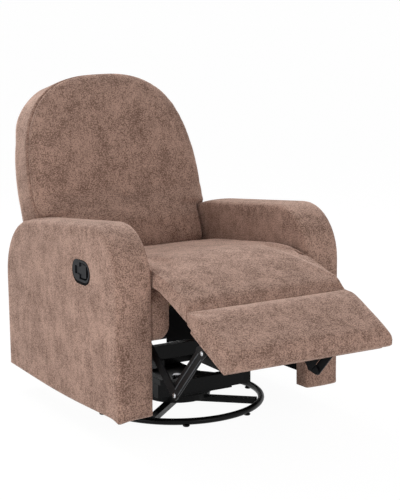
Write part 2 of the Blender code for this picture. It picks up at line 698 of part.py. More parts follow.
def make_cup(cover, rocker):
    centre = (HANDLE_Y, HANDLE_HEIGHT)
    tub = (CUP_LENGTH - 2 * CUP_LIP, CUP_WIDTH - 2 * CUP_LIP)
    pocket = tuple(size - 2 * CUP_WALL for size in tub)
    hole = stadium(centre, *(size + 2 * FIT_GAP for size in tub))
    face = -ARM_OUTER
    combine(cover, prism("cup_hole", hole, face - CUP_DEPTH, face + CUP_DEPTH, FABRIC), "DIFFERENCE")
    seat = face - FIT_GAP
    mouth = seat - CUP_LIP_THICK
    edge = CUP_LIP_THICK / 2
    steps = (
        (mouth, (CUP_LENGTH - 2 * edge, CUP_WIDTH - 2 * edge)),
        (seat - edge, (CUP_LENGTH, CUP_WIDTH)),
        (seat, (CUP_LENGTH, CUP_WIDTH)),
        (seat, tub),
        (seat + CUP_DEPTH, tub),
    )
    loops = [[(x, y, z) for y, z in stadium(centre, *size)] for x, size in steps]
    cup = loft("handle_cup", loops, PLASTIC, rocker)
    pin_x = face + LEVER_THICK / 2
    pin_y = HANDLE_Y + LEVER_PIN_SETBACK
    slot = LEVER_NECK / 2 + LEVER_SLOT
    waist = pin_y - LEVER_LENGTH + LEVER_TAB_LENGTH + LEVER_SLOT
    rear = pin_y + LEVER_THICK
    front = [(y, z) for y, z in stadium(centre, *pocket) if y < HANDLE_Y]
    wide = pocket[1] / 2
    mouth_line = [(rear, HANDLE_HEIGHT + slot), (waist, HANDLE_HEIGHT + slot), (waist, HANDLE_HEIGHT + wide)]
    mouth_line += [*front, (waist, HANDLE_HEIGHT - wide), (waist, HANDLE_HEIGHT - slot), (rear, HANDLE_HEIGHT - slot)]
    floor = seat + CUP_DEPTH - CUP_WALL
    combine(cup, prism("cup_pocket", mouth_line, mouth - CUP_LIP, floor, PLASTIC), "DIFFERENCE")
    reach = slot - FIT_GAP
    pin = [(LEVER_PIN_RADIUS, HANDLE_HEIGHT + reach), (LEVER_PIN_RADIUS, HANDLE_HEIGHT - reach)]
    turned("handle_pin", pin, ZINC, rocker, steps=ROUND_STEPS, at=(pin_x, pin_y))
    make_lever(pin_x, pin_y)


def make_lever(pin_x, pin_y):
    hinge = pivot_empty("handle_axis", (pin_x, pin_y, HANDLE_HEIGHT))
    neck, tab = LEVER_NECK / 2, LEVER_TAB / 2
    rear = pin_y + LEVER_THICK / 2
    front = pin_y - LEVER_LENGTH
    waist = front + LEVER_TAB_LENGTH
    shape = ((rear, neck), (waist, neck), (waist, tab), (front, tab * 0.86))
    corner = LEVER_NECK / 8
    upper = [(y, HANDLE_HEIGHT + h, corner) for y, h in shape]
    lower = [(y, HANDLE_HEIGHT - h, corner) for y, h in shape[::-1]]
    outline = rounded(upper + lower, 3)
    lever = prism("handle_lever", outline, pin_x - LEVER_THICK / 2, pin_x + LEVER_THICK / 2, PLASTIC, hinge)
    eye = LEVER_PIN_RADIUS + PIVOT_GAP
    bore = [(eye, HANDLE_HEIGHT + LEVER_TAB), (eye, HANDLE_HEIGHT - LEVER_TAB)]
    combine(lever, turned("lever_bore", bore, PLASTIC, steps=ROUND_STEPS, at=(pin_x, pin_y)), "DIFFERENCE")


# Back


def back_outline(inset=0.0):
    """Half of the back's front outline mirrored: narrow between the arms, stepped out above them, arched on top."""
    low, high = BACK_LOW_WIDTH / 2 - inset, BACK_WIDTH / 2 - inset
    step = BACK_STEP + inset
    half = [(low, BACK_BOTTOM + inset), (low, step), (high, step + BACK_STEP_RISE)]
    arch_steps = 11
    for k in range(arch_steps):
        a = pi / 2 * k / arch_steps
        across = high * cos(a) ** (2 / BACK_ARCH_POWER)
        half.append((across, BACK_SHOULDER + (BACK_ARCH - inset) * sin(a) ** (2 / BACK_ARCH_POWER)))
    top = [(0.0, BACK_SHOULDER + BACK_ARCH - inset)]
    return half + top + [(-u, v) for u, v in half[::-1]]


def back_loop(forward, inset=0.0, share=1.0):
    middle = BACK_SHOULDER
    return [on_back(u * share, middle + (v - middle) * share, forward) for u, v in back_outline(inset)]


def make_back(back):
    edge = BACK_CUSHION_DEPTH / 6
    loops = [back_loop(-BACK_CUSHION_DEPTH, edge), back_loop(edge - BACK_CUSHION_DEPTH), back_loop(-edge)]
    loops += [back_loop(rise * BACK_CROWN, 0, share) for share, rise in BACK_CROWN_STEPS]
    loft("back_cushion", loops, FABRIC, back, tip=on_back(0, BACK_SHOULDER, BACK_CROWN))
    rim = -BACK_CUSHION_DEPTH - FIT_GAP
    floor = BACK_REAR_WALL - BACK_DEPTH
    loops = [
        back_loop(floor, BACK_WALL),
        back_loop(rim, BACK_WALL),
        back_loop(rim),
        back_loop(2 * edge - BACK_DEPTH),
        back_loop(-BACK_DEPTH, edge),
        back_loop(-BACK_DEPTH - BACK_REAR_CROWN, edge, 0.85),
    ]
    loft("back_cover", loops, FABRIC, back)
    fit = BACK_WALL + FIT_GAP
    front = rim - FIT_GAP
    rear = front - BACK_FRAME_THICK
    bar = 1 - 2 * BACK_FRAME_BAR / BACK_LOW_WIDTH
    loops = [back_loop(rear, fit), back_loop(front, fit), back_loop(front, fit, bar), back_loop(rear, fit, bar)]
    loft("back_frame", loops, WOOD, back, ring=True)


def make_back_hinges(rocker, back):
    inner, outer = FRONT_LAYER
    under = BACK_BOTTOM - FIT_GAP
    flange_low = under - PLATE_THICK
    middle = -BACK_PIVOT_DEPTH
    hub = BACK_PIVOT
    lug_top = [on_back(0, flange_low, middle + s * BRACKET_FLANGE_LENGTH / 3)[1:] for s in (1, -1)]
    lug = hull([(hub, PIVOT_BOSS), (lug_top[0], LINK_THICK), (lug_top[1], LINK_THICK)])
    rear, front = (middle + s * BRACKET_FLANGE_LENGTH / 2 for s in (-1, 1))
    plate = [on_back(0, v, w)[1:] for v, w in ((flange_low, front), (flange_low, rear), (under, rear), (under, front))]
    clear = [on_back(0, v, w)[1:] for v, w in ((under, 2 * front - rear), (under, 2 * rear - front),
                                                (under + BRACKET_FLANGE_LENGTH, 2 * rear - front),
                                                (under + BRACKET_FLANGE_LENGTH, 2 * front - rear))]
    for name, side in SIDES:
        bracket = prism(f"back_bracket_{name}", lug, side * inner, side * outer, STEEL, back)
        flange_inner = side * (outer - BRACKET_FLANGE_WIDTH)
        flange = prism(f"bracket_flange_{name}", plate, flange_inner, side * outer, STEEL)
        combine(bracket, flange, "UNION")
        trim = prism(f"bracket_trim_{name}", clear, side * (inner - LINK_THICK), side * (outer + LINK_THICK), STEEL)
        combine(bracket, trim, "DIFFERENCE")
        drill(bracket, BACK_PIVOT, BACK_BOLT_RADIUS + PIVOT_GAP, side * (inner - LINK_THICK), side * PLATE_OUTER)
        head = PLATE_OUTER + FIT_GAP
        steps = ((inner - LINK_THICK, BACK_BOLT_RADIUS), (head, BACK_BOLT_RADIUS), (head, BACK_BOLT_HEAD),
                 (head + BACK_BOLT_HEAD_THICK, BACK_BOLT_HEAD))
        loops = [[(side * x, y, z) for y, z in circle(BACK_PIVOT, radius)] for x, radius in steps]
        loft(f"back_bolt_{name}", loops, ZINC, rocker)


# Seat cushion, chaise pad and footrest


def make_seat_cushion(rocker):
    front = ARM_FRONT + FIT_GAP
    nose = front + SEAT_UNDERCUT
    lift_off = 2 * FIT_GAP + DECK_THICK
    under = [(y, seat_line(y) + lift_off, 0) for y in (SEAT_REAR - DECK_THICK, 0.0, nose)]
    outline = [
        (front, SEAT_TOP_FRONT - CHAISE_UNDER * 0.5, 0), (front, SEAT_TOP_FRONT, 1),
        ((front + SEAT_CREST_Y) / 2, (SEAT_TOP_FRONT + 2 * SEAT_TOP_CREST) / 3, 1),
        (SEAT_CREST_Y, SEAT_TOP_CREST, 1), (SEAT_CREST_Y / 2, (SEAT_TOP_CREST + SEAT_TOP_MIDDLE) / 2, 1),
        (0.0, SEAT_TOP_MIDDLE, 1), (SEAT_REAR * 0.4, (2 * SEAT_TOP_MIDDLE + SEAT_TOP_REAR) / 3, 1),
        (SEAT_REAR * 0.75, (SEAT_TOP_MIDDLE + 3 * SEAT_TOP_REAR) / 4, 0.8), (SEAT_REAR, SEAT_TOP_REAR, 0.2),
        (SEAT_REAR, seat_line(SEAT_REAR) + lift_off + DECK_THICK, 0), *under,
    ]
    padded("seat_cushion", outline, ARM_INNER - SEAT_SIDE_GAP, SEAT_CROWN, rocker)


def make_chaise(chaise):
    rear = ARM_FRONT - FIT_GAP
    run = CREASE_TOP[0] + CREASE_GAP - rear
    fall = SEAT_TOP_FRONT - CREASE_TOP[1]
    shoulder = SEAT_TOP_FRONT - 0.45 * fall
    outline = [
        (rear, SEAT_TOP_FRONT - CHAISE_UNDER, 0),
        (CREASE_BOTTOM[0] + CREASE_GAP, CREASE_BOTTOM[1], 0),
        (CREASE_TOP[0] + CREASE_GAP, CREASE_TOP[1], 0.1),
        (rear + 0.93 * run, shoulder - 0.2 * fall, 0.6),
        (rear + 0.8 * run, shoulder, 0.9), (rear + 0.45 * run, SEAT_TOP_FRONT - 0.18 * fall, 1),
        (rear, SEAT_TOP_FRONT, 1),
    ]
    padded("chaise_pad", outline, FOOTREST_WIDTH / 2, CHAISE_CROWN, chaise)


def make_footrest(footrest):
    half = FOOTREST_WIDTH / 2
    board = [on_footrest(a, b) for a, b in ((0, 0), (BOARD_LENGTH, 0), (BOARD_LENGTH, BOARD_THICK), (0, BOARD_THICK))]
    prism("footrest_board", board, BOARD_MARGIN - half, half - BOARD_MARGIN, FABRIC, footrest)
    under = BOARD_THICK + FIT_GAP
    top = under + FOOTREST_PAD_EDGE
    length = FOOTREST_LENGTH
    crease = [(CREASE_TOP[0] - CREASE_GAP, CREASE_TOP[1], 0.1), (CREASE_BOTTOM[0] - CREASE_GAP, CREASE_BOTTOM[1], 0)]
    profile = [(0.0, under, 0), (0.86 * length, under, 0), (0.97 * length, under + 0.1 * FOOTREST_PAD_EDGE, 0),
               (length, under + 0.5 * FOOTREST_PAD_EDGE, 0.2), (0.97 * length, top - 0.08 * FOOTREST_PAD_EDGE, 0.6),
               (0.85 * length, top, 1), (0.55 * length, top, 1), (0.2 * length, top, 0.9),
               (0.0, top - 0.12 * FOOTREST_PAD_EDGE, 0.6)]
    outline = [(*on_footrest(a, b), lift) for a, b, lift in profile]
    padded("footrest_pad", [*outline, *crease], half, FOOTREST_CROWN, footrest)
    boss = PIVOT_BOSS
    for name, side in SIDES:
        inner, outer = (side * x for x in REAR_LAYER)
        ends = [on_footrest(a, -FLANGE_WIDTH / 2 - FIT_GAP) for a in (FLANGE_WIDTH, BOARD_LENGTH * 0.8)]
        web = hull([(TOE_PIVOT, boss), (HEEL_PIVOT, boss), (on_footrest(BOARD_LENGTH * 0.3, -boss - FIT_GAP), boss)])
        bracket = prism(f"footrest_bracket_{name}", web, inner, outer, STEEL, footrest)
        rail = hull([(end, FLANGE_WIDTH / 2) for end in ends])
        combine(bracket, prism(f"bracket_rail_{name}", rail, inner, outer, STEEL), "UNION")
        stud(bracket, TOE_PIVOT, PIVOT_RADIUS, side * (REAR_LAYER[0] + LINK_THICK / 2), side * FRONT_LAYER[1])


def link(name, side, circles, place, parent):
    return prism(name, hull(circles), side * place[0], side * place[1], STEEL, parent)


def make_links(rear_axis, knee_axis, crank_axis):
    width, broad, boss = LINK_HALF_WIDTH, FRONT_LINK_HALF_WIDTH, PIVOT_BOSS
    eye = PIVOT_RADIUS + PIVOT_GAP
    for name, side in SIDES:
        rear = link(f"rear_link_{name}", side, [(REAR_PIVOT, boss), (KNEE_PIVOT, boss), (CRANK_PIVOT, boss)],
                    REAR_LAYER, rear_axis)
        middle = side * (REAR_LAYER[0] + LINK_THICK / 2)
        drill(rear, REAR_PIVOT, eye, middle - side * LINK_THICK, side * PLATE_INNER)
        stud(rear, KNEE_PIVOT, PIVOT_RADIUS, middle, side * FRONT_LAYER[1])
        stud(rear, CRANK_PIVOT, PIVOT_RADIUS, side * UPPER_LAYER[0], middle)
        front = link(f"front_link_{name}", side, [(p, broad) for p in (KNEE_PIVOT, TOE_PIVOT)], FRONT_LAYER,
                     knee_axis)
        for pivot in (KNEE_PIVOT, TOE_PIVOT):
            drill(front, pivot, eye, side * (FRONT_LAYER[0] - LINK_THICK), side * (FRONT_LAYER[1] + LINK_THICK))
        upper = link(f"upper_link_{name}", side, [(CRANK_PIVOT, width), (HEEL_PIVOT, width)], UPPER_LAYER, crank_axis)
        drill(upper, CRANK_PIVOT, eye, side * (UPPER_LAYER[0] - LINK_THICK), side * (UPPER_LAYER[1] + LINK_THICK))
        stud(upper, HEEL_PIVOT, PIVOT_RADIUS, side * (UPPER_LAYER[0] - RIVET_HEAD),
             side * (UPPER_LAYER[0] + LINK_THICK / 2))
    reach = REAR_LAYER[0] - FIT_GAP
    prism("torque_tube", circle(REAR_PIVOT, TORQUE_TUBE_RADIUS), -reach, reach, STEEL, rear_axis)


def main():
    for old in list(bpy.data.objects):
        bpy.data.objects.remove(old, do_unlink=True)
    axes = {
        "swivel_axis": (0, 0, 0),
        "rock_axis": (0, *ROCK_AXIS),
        "back_axis": (0, *BACK_PIVOT),
        "rear_link_axis": (0, *REAR_PIVOT),
        "knee_axis": (0, *KNEE_PIVOT),
        "toe_axis": (0, *TOE_PIVOT),
        "crank_axis": (0, *CRANK_PIVOT),
        "chaise_axis": (0, *CHAISE_HINGE),
    }
    empties = {name: pivot_empty(name, place) for name, place in axes.items()}
    rocker = empties["rock_axis"]
    make_base()
    make_swivel(empties["swivel_axis"])
    make_turntable(empties["swivel_axis"])
    make_springs(empties["swivel_axis"])
    make_rocker(rocker)
    make_side_plates(rocker)
    make_seat_box(rocker)
    make_arms(rocker)
    make_back(empties["back_axis"])
    make_back_hinges(rocker, empties["back_axis"])
    make_seat_cushion(rocker)
    make_chaise(empties["chaise_axis"])
    make_footrest(empties["toe_axis"])
    make_links(*(empties[name] for name in ("rear_link_axis", "knee_axis", "crank_axis")))
    chair = pivot_empty("chair", (0, 0, 0))
    for obj in bpy.data.objects:
        if obj.parent is None and obj is not chair:
            obj.parent = chair
    chair.location.y = SWIVEL_SETBACK
    for name, (x, y, z) in axes.items():
        print(name, [round(c, 5) for c in (x, y + SWIVEL_SETBACK, z)])
    turns = {"rear": REAR_TURN, "front": FRONT_TURN, "upper": HEEL_TURN, "fold": FOLD_TURN}
    print({name: round(turn * 180 / pi, 4) for name, turn in turns.items()})


main()
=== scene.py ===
"""Looks of the rocker recliner: its upholstery, painted steel, and the photograph's view of it.

Metres, with X across the chair, -Y its front and +Z up. Places are worked out from the point on the floor
under the swivel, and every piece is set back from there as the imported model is.
"""

import json
from math import cos, pi, radians, sin

import bmesh
import bpy
import numpy as np
from mathutils import Matrix, Vector, noise


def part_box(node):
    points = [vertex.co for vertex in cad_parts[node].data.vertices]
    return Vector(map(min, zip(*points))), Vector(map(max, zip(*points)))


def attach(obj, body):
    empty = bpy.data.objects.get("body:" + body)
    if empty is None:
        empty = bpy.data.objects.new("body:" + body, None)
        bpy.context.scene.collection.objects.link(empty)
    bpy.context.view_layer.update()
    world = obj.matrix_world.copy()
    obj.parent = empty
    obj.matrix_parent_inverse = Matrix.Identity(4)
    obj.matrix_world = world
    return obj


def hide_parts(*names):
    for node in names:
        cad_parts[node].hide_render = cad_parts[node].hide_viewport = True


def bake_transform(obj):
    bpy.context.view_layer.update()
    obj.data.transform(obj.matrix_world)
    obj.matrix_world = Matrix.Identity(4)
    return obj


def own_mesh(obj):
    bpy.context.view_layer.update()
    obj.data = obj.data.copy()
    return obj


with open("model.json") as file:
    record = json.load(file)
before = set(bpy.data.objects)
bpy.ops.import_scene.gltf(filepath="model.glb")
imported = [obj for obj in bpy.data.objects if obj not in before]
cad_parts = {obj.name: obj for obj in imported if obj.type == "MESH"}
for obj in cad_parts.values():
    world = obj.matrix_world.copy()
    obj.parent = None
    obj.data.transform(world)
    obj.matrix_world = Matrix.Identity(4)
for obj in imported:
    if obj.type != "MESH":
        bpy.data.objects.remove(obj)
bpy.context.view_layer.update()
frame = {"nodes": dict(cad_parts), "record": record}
NODES = frame["nodes"]

king_low, king_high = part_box("king_bolt")
SETBACK = (king_low[1] + king_high[1]) / 2
SIDES = (("left", 1), ("right", -1))

# Arms
ARM_INNER = 0.277
ARM_OUTER = 0.397
ARM_FRONT = -0.345
ARM_REAR = 0.450
ARM_BOTTOM = 0.084
ARM_SAG = 0.009
ARM_SAG_ROUND = 6.0
ARM_FRONT_HEIGHT = 0.676
ARM_REAR_HEIGHT = 0.579
ARM_FRONT_ROUND = 0.160
ARM_REAR_ROUND = 0.205
ARM_REAR_LEAN = 0.003
ARM_FOOT_ROUND = 0.008
ARM_POINTS = 232
ARM_HEM_LOW = 0.008
ARM_HEM_HIGH = 0.012
ARM_DROOP = 0.009
ARM_DROOP_REACH = (0.030, 0.032)
ARM_DROOP_HEIGHT = 0.06
ARM_SKIRT = 0.170
ARM_POST = 0.058
ARM_WALL = 0.016
# Across the band: depth below the side face, and how far the skin lies inside the outline
ARM_BAND = (
    (0.060, -0.0025), (0.043, -0.0022), (0.028, -0.0012), (0.017, -0.0002),
    (0.0105, 0.0006), (0.0078, 0.0014), (0.0062, 0.0032), (0.0050, 0.0036),
    (0.0036, 0.0038), (0.0018, 0.0062), (0.0004, 0.0105),
)
PANEL_RINGS = 26
PANEL_DROP = 0.02
PANEL_BULGE = 0.0035
PANEL_INNER_BULGE = 0.0008
PANEL_BULGE_SHARE = 0.35
PANEL_BULGE_RISE = 0.12
PANEL_FOLD = 0.0009
PANEL_FOLD_SIZE = 0.09
PANEL_FOLD_SHARE = 0.1
CUT_PAST = 0.03
CUT_BELOW = 0.05
CUT_ROUND = 0.012
CUT_LOW_ROUND = 0.002

# Handle
HANDLE_SIDE = -1
HANDLE_Y = -0.115
HANDLE_HEIGHT = 0.504
CUP_TUB = (0.106, 0.057)
CUP_DEPTH = 0.0352
CUP_FLAT = (0.05, 0.11)
CUP_FLAT_SQUEEZE = 0.75
CUP_FLAT_LEVEL = 0.0004
CUP_RIM = (0.1235, 0.080)
CUP_RIM_INNER = (0.113, 0.064)
CUP_RIM_DROP = 0.0035
CUP_RIM_ROOT = 0.0060
CUP_RIM_TOP = 0.0006
CUP_RIM_EDGE = 0.0009
CUP_RIM_BEVEL = 0.003

# Back, with heights measured up its slope from BACK_HEIGHT
BACK_Y = 0.337
BACK_HEIGHT = 0.500
BACK_TILT = radians(19.2)
BACK_WIDTH = 0.653
BACK_LOW_WIDTH = 0.546
BACK_BOTTOM = -0.100
BACK_STEP = 0.070
BACK_STEP_RISE = 0.014
BACK_SHOULDER = 0.127
BACK_ARCH = 0.441
BACK_ARCH_POWER = 2.8
BACK_ARCH_STEPS = 40
BACK_POINTS = 300
BACK_DEPTH = 0.113
BACK_CROWN = 0.034
BACK_CROWN_LEAST = 0.35
BACK_CROWN_RISE = (-0.08, 0.16)
BACK_REAR_CROWN = 0.008
BACK_REAR_FULL = 0.012
BACK_FULL_FROM = (0.36, 0.45)
BACK_FULL_TOP = 0.575
BACK_FULL_FADE = 0.05
BACK_LOW_PUSH = 0.052
BACK_PUSH_TOP = 0.165
BACK_PUSH_FADE = 0.14
BACK_PUSH_LOW = (-0.09, -0.03)
BACK_LOW_ROUND = 0.007
BACK_LOW_AHEAD = (0.80, 1.0)
BACK_LOW_TOP = 0.15
BACK_LOW_FADE = 0.08
BACK_EAR = (0.262, 0.318)
BACK_EAR_HOLD = 0.45
BACK_REAR_RINGS = 14
BACK_REAR_INSET = 0.006
BACK_BAND_RINGS = 10
BACK_BAND_EDGE = 0.008
BACK_BAND_INSET = 0.001
BACK_FRONT_RINGS = 30
BACK_FRONT_LEVEL = 0.0026
BACK_FRONT_INSET = 0.004
# Rings of a seam: how far ahead, how far inside the outline, and 1 where the seam holds the cloth
REAR_SEAM = ((0.0005, 0.0040, 0), (0.0022, 0.0075, 1), (0.0038, 0.0075, 1), (0.0055, 0.0030, 0))
FRONT_SEAM = (
    (-0.0075, 0.0012, 0), (-0.0055, 0.0050, 0), (-0.0042, 0.0105, 1),
    (-0.0005, 0.0105, 1), (0.0015, 0.0060, 0), (0.0024, 0.0045, 0),
)
BACK_HUB_HOLD = 0.4
BACK_WAVE = 0.0012
BACK_WAVE_SIZE = 0.11
BACK_WALL_GAP = 0.0045

# Seat, chaise and footrest
SEAT_REAR = 0.281
SEAT_HALF = 0.273
SEAT_CROWN = 0.0075
SEAT_ROWS = 58
SEAT_ACROSS = 54
SEAT_LAYERS = 8
SEAT_HELD = 0.35
SEAT_WAVE = 0.0016
SEAT_WAVE_SIZE = 0.12
SEAT_WALL_GAP = 0.0006
SEAT_WALL_PAST = 0.004
CHAISE_CROWN = 0.003
CHAISE_ROWS = 24
CHAISE_FROM = (0.30, 0.36)
CHAISE_NARROW = 0.0015
CHAISE_FLARE = 0.004
CHAISE_FLARE_FROM = (0.43, 0.52)
CHAISE_WAIST = 0.002
CHAISE_WAIST_AT = (0.34, 0.2)
CHAISE_EDGE = 0.86
CHAISE_EDGE_IN = 0.004
CHAISE_EDGE_UP = 0.005
CHAISE_EDGE_DOWN = 0.0015
CROWN_POWER = 2.6
CREASE_TOP = (-0.546, 0.447)
CREASE_BOTTOM = (-0.552, 0.409)
CREASE_GAP = 0.0008
# From the seat's rear to the crease: the top, the underside below it, and the crown's share there
SEAT_KNOTS = (
    (SEAT_REAR, 0.450, SEAT_REAR, 0.377, 0.0),
    (0.262, 0.464, 0.262, 0.376, 0.05),
    (0.211, 0.475, 0.211, 0.379, 0.2),
    (0.112, 0.490, 0.112, 0.388, 0.5),
    (0.0, 0.503, 0.0, 0.397, 0.9),
    (-0.1, 0.5165, -0.1, 0.406, 1.0),
    (-0.2, 0.5295, -0.2, 0.424, 1.0),
    (-0.2725, 0.5360, -0.2725, 0.455, 1.0),
    (-0.345, 0.532, -0.345, 0.475, 1.0),
    (-0.4292, 0.512, -0.4292, 0.447, 1.0),
    (-0.5020, 0.490, -0.4948, 0.427, 0.85),
    (-0.5330, 0.472, -0.525, 0.417, 0.55),
    (CREASE_TOP[0] + CREASE_GAP, CREASE_TOP[1], CREASE_BOTTOM[0] + CREASE_GAP, CREASE_BOTTOM[1], 0.1),
)
# The tuck where the cover is drawn in beside each arm's front
TUCK_X = 0.262
TUCK_Y = -0.325
TUCK_REACH = (0.012, 0.030)
TUCK_DEPTH = 0.010
# Rounded ends that seat and chaise hide in each other: how far in, and the share of the height left
END_STEPS = ((0.003, 0.90), (0.010, 0.80), (0.018, 0.68), (0.024, 0.52), (0.027, 0.3))
END_TIP = 0.0275
END_NARROW = 0.12
FOOTREST_CORNER = (-0.556, 0.388)
FOOTREST_SLOPE = radians(24)
FOOTREST_LENGTH = 0.228
FOOTREST_HALF = 0.278
FOOTREST_CROWN = 0.005
FOOTREST_WAVE = 0.0012
FOOTREST_WAVE_SIZE = 0.10
PAD_THICK = 0.053
PAD_LIFT = 0.0004
PAD_WIDER = 0.002
PAD_FLARE = 0.004
PAD_WAIST = 0.003
BOARD_LENGTH = 0.202
BOARD_THICK = 0.016
BOARD_NARROW = 0.0035
BOARD_END_GAP = 0.0005
BOARD_FACE_GAP = 0.0003

# Seat box
RAIL_FRONT_HEIGHT = 0.418
RAIL_REAR_HEIGHT = 0.362
RAIL_PAD = 0.0088
RAIL_POST = 0.048
RAIL_POST_DEPTH = 0.062
RAIL_POST_FADE = 0.012
RAIL_LIP = 0.007
RAIL_LIP_DEPTH = 0.026
RAIL_WRAP = 0.0025
RAIL_FIT = 0.0003
RAIL_DROP = 0.008
RAIL_DROP_FROM = (0.004, 0.017)
RAIL_SOFT = 0.004
RAIL_SOFT_DEPTH = 0.012
RAIL_SOLE_ROUND = 0.014
RAIL_POST_ROUND = 0.018
RAIL_ROUND = 0.006
RAIL_CREST_ROUND = 0.004
RAIL_ROWS = 80
RAIL_POINTS = 44
DUST_SIDE_GAP = 0.001
DUST_LEVEL = 0.3285
DUST_LIP = 0.006
DUST_TOP = 0.428
DUST_SAG = 0.003
DUST_GRID = 0.012
DUST_ACROSS = 36

# Steel
RING_STEPS = 144
RING_SIDES = 20
SPRING_WIRE = 0.0022
SPRING_TURNS = 7
SPRING_STEPS = 28
SPRING_SIDES = 8
LINK_KNEE = (-0.4345, 0.1697)
LINK_TOE = (-0.5944, 0.3348)
LINK_EDGE = 0.0105
LINK_EDGE_END = 0.016
LINK_EDGE_HALF = 0.0016
LINK_EDGE_HEIGHT = 0.0022
LINK_NODES = ("front_link", "rear_link", "upper_link", "footrest_bracket")
RIVET_RADIUS = 0.0075
RIVET_HEIGHT = 0.0032
RIVET_SIDES = 20
WELD_GAP = 0.00002
SOFT_EDGE = 0.0008
EDGE_ANGLE = radians(40)

# Stage, light and camera
FLOOR_HALF = 30.0
FLOOR_GLOW = 1.06
GLOW_SHARE = 0.9
WORLD_LEVEL = 0.40
# Lamps: name, place, what each points at, size and watts
LAMPS = (
    ("front", (0.4, -4.2, 1.5), (0, 0, 0.5), 2.4, 47),
    ("front_left", (-2.6, -3.6, 0.7), (0, 0, 0.5), 1.6, 6),
    ("side", (-1.9, -0.6, 0.52), (0, 0, 0.4), 0.8, 9.5),
    ("over", (0.0, 2.2, 2.8), (0, 0, 0.5), 1.8, 60),
)
CAMERA_PLACE = (-2.455, -4.307, 1.510)
CAMERA_TURN = radians(-30.59)
CAMERA_RISE = radians(11.46)
CAMERA_ROLL = radians(-0.45)
CAMERA_LENS = 112.97
CAMERA_REACH = 60


# Meshes


def set_back(points):
    return np.asarray(points, float) + (0.0, SETBACK, 0.0)


def linked(name, data):
    obj = bpy.data.objects.new(name, data)
    bpy.context.collection.objects.link(obj)
    return obj


def mesh_object(name, points, faces, material, smooth=True):
    mesh = bpy.data.meshes.new(name)
    mesh.from_pydata([tuple(p) for p in set_back(points)], [], [tuple(f) for f in faces])
    mesh.update()
    bm = bmesh.new()
    bm.from_mesh(mesh)
    bmesh.ops.recalc_face_normals(bm, faces=bm.faces)
    bm.to_mesh(mesh)
    bm.free()
    obj = linked(name, mesh)
    mesh.materials.append(material)
    mesh.polygons.foreach_set("use_smooth", [smooth] * len(mesh.polygons))
    return obj


def coordinates(mesh):
    co = np.empty(len(mesh.vertices) * 3, np.float32)
    mesh.vertices.foreach_get("co", co)
    return co.reshape(-1, 3).astype(float)


def set_coordinates(mesh, co):
    mesh.vertices.foreach_set("co", np.asarray(co, np.float32).ravel())
    mesh.update()


def normals(mesh):
    out = np.empty(len(mesh.vertices) * 3, np.float32)
    mesh.vertices.foreach_get("normal", out)
    return out.reshape(-1, 3).astype(float)


def settle(obj):
    """Keeps what an object's modifiers make of it and takes them off."""
    graph = bpy.context.evaluated_depsgraph_get()
    mesh = bpy.data.meshes.new_from_object(obj.evaluated_get(graph))
    obj.modifiers.clear()
    obj.data = mesh


def subdivide(obj):
    mod = obj.modifiers.new("smooth", "SUBSURF")
    mod.levels = mod.render_levels = 1
    settle(obj)


def loops_mesh(loops, caps=True, tips=(None, None)):
    """Points and faces of a skin over equal closed loops, its ends closed by tips or flat caps."""
    count = len(loops[0])
    points = [p for loop in loops for p in loop]
    faces = []
    for r in range(len(loops) - 1):
        for i in range(count):
            j = (i + 1) % count
            faces.append((r * count + i, r * count + j, (r + 1) * count + j, (r + 1) * count + i))
    for row, tip in ((0, tips[0]), (len(loops) - 1, tips[1])):
        ring = [row * count + i for i in range(count)]
        if tip is not None:
            points.append(tip)
            hub = len(points) - 1
            faces += [(ring[i], ring[(i + 1) % count], hub) for i in range(count)]
        elif caps:
            faces.append(tuple(ring))
    return points, faces


def circle(count):
    """Angles of evenly spaced places round a circle."""
    return [2 * pi * k / count for k in range(count)]


def lathe(profile, steps):
    """Points and faces of a closed profile turned round the vertical."""
    points = [(r * cos(a), r * sin(a), z) for a in circle(steps) for r, z in profile]
    count = len(profile)
    faces = []
    for k in range(steps):
        n = (k + 1) % steps
        for i in range(count):
            j = (i + 1) % count
            faces.append((k * count + i, k * count + j, n * count + j, n * count + i))
    return points, faces


def box_grid(nu, nv, nw):
    """Surface grid of a box: whole-number places along its length, width and height, and its faces."""
    index = {}
    places = []
    faces = []

    def at(p):
        if p not in index:
            index[p] = len(places)
            places.append(p)
        return index[p]

    for u in range(nu):
        for v in range(nv):
            for w in (0, nw):
                faces.append((at((u, v, w)), at((u + 1, v, w)), at((u + 1, v + 1, w)), at((u, v + 1, w))))
    for u in range(nu):
        for w in range(nw):
            for v in (0, nv):
                faces.append((at((u, v, w)), at((u + 1, v, w)), at((u + 1, v, w + 1)), at((u, v, w + 1))))
    for v in range(nv):
        for w in range(nw):
            for u in (0, nu):
                faces.append((at((u, v, w)), at((u, v + 1, w)), at((u, v + 1, w + 1)), at((u, v, w + 1))))
    return np.array(places), faces


def curve_through(knots, count, fineness=24):
    """Evenly spaced points on a smooth curve through the knots."""
    k = np.asarray(knots, float)
    ends = np.vstack([2 * k[0] - k[1], k, 2 * k[-1] - k[-2]])
    t = np.linspace(0, 1, fineness, endpoint=False)[:, None]
    fine = []
    for i in range(len(k) - 1):
        a, b, c, d = ends[i:i + 4]
        square = 2 * a - 5 * b + 4 * c - d
        cube = 3 * b - a - 3 * c + d
        fine.append(0.5 * (2 * b + (c - a) * t + square * t**2 + cube * t**3))
    fine = np.vstack([*fine, k[-1:]])
    run = np.concatenate([[0], np.cumsum(np.linalg.norm(np.diff(fine, axis=0), axis=1))])
    even = np.linspace(0, run[-1], count)
    return np.column_stack([np.interp(even, run, fine[:, i]) for i in range(fine.shape[1])])


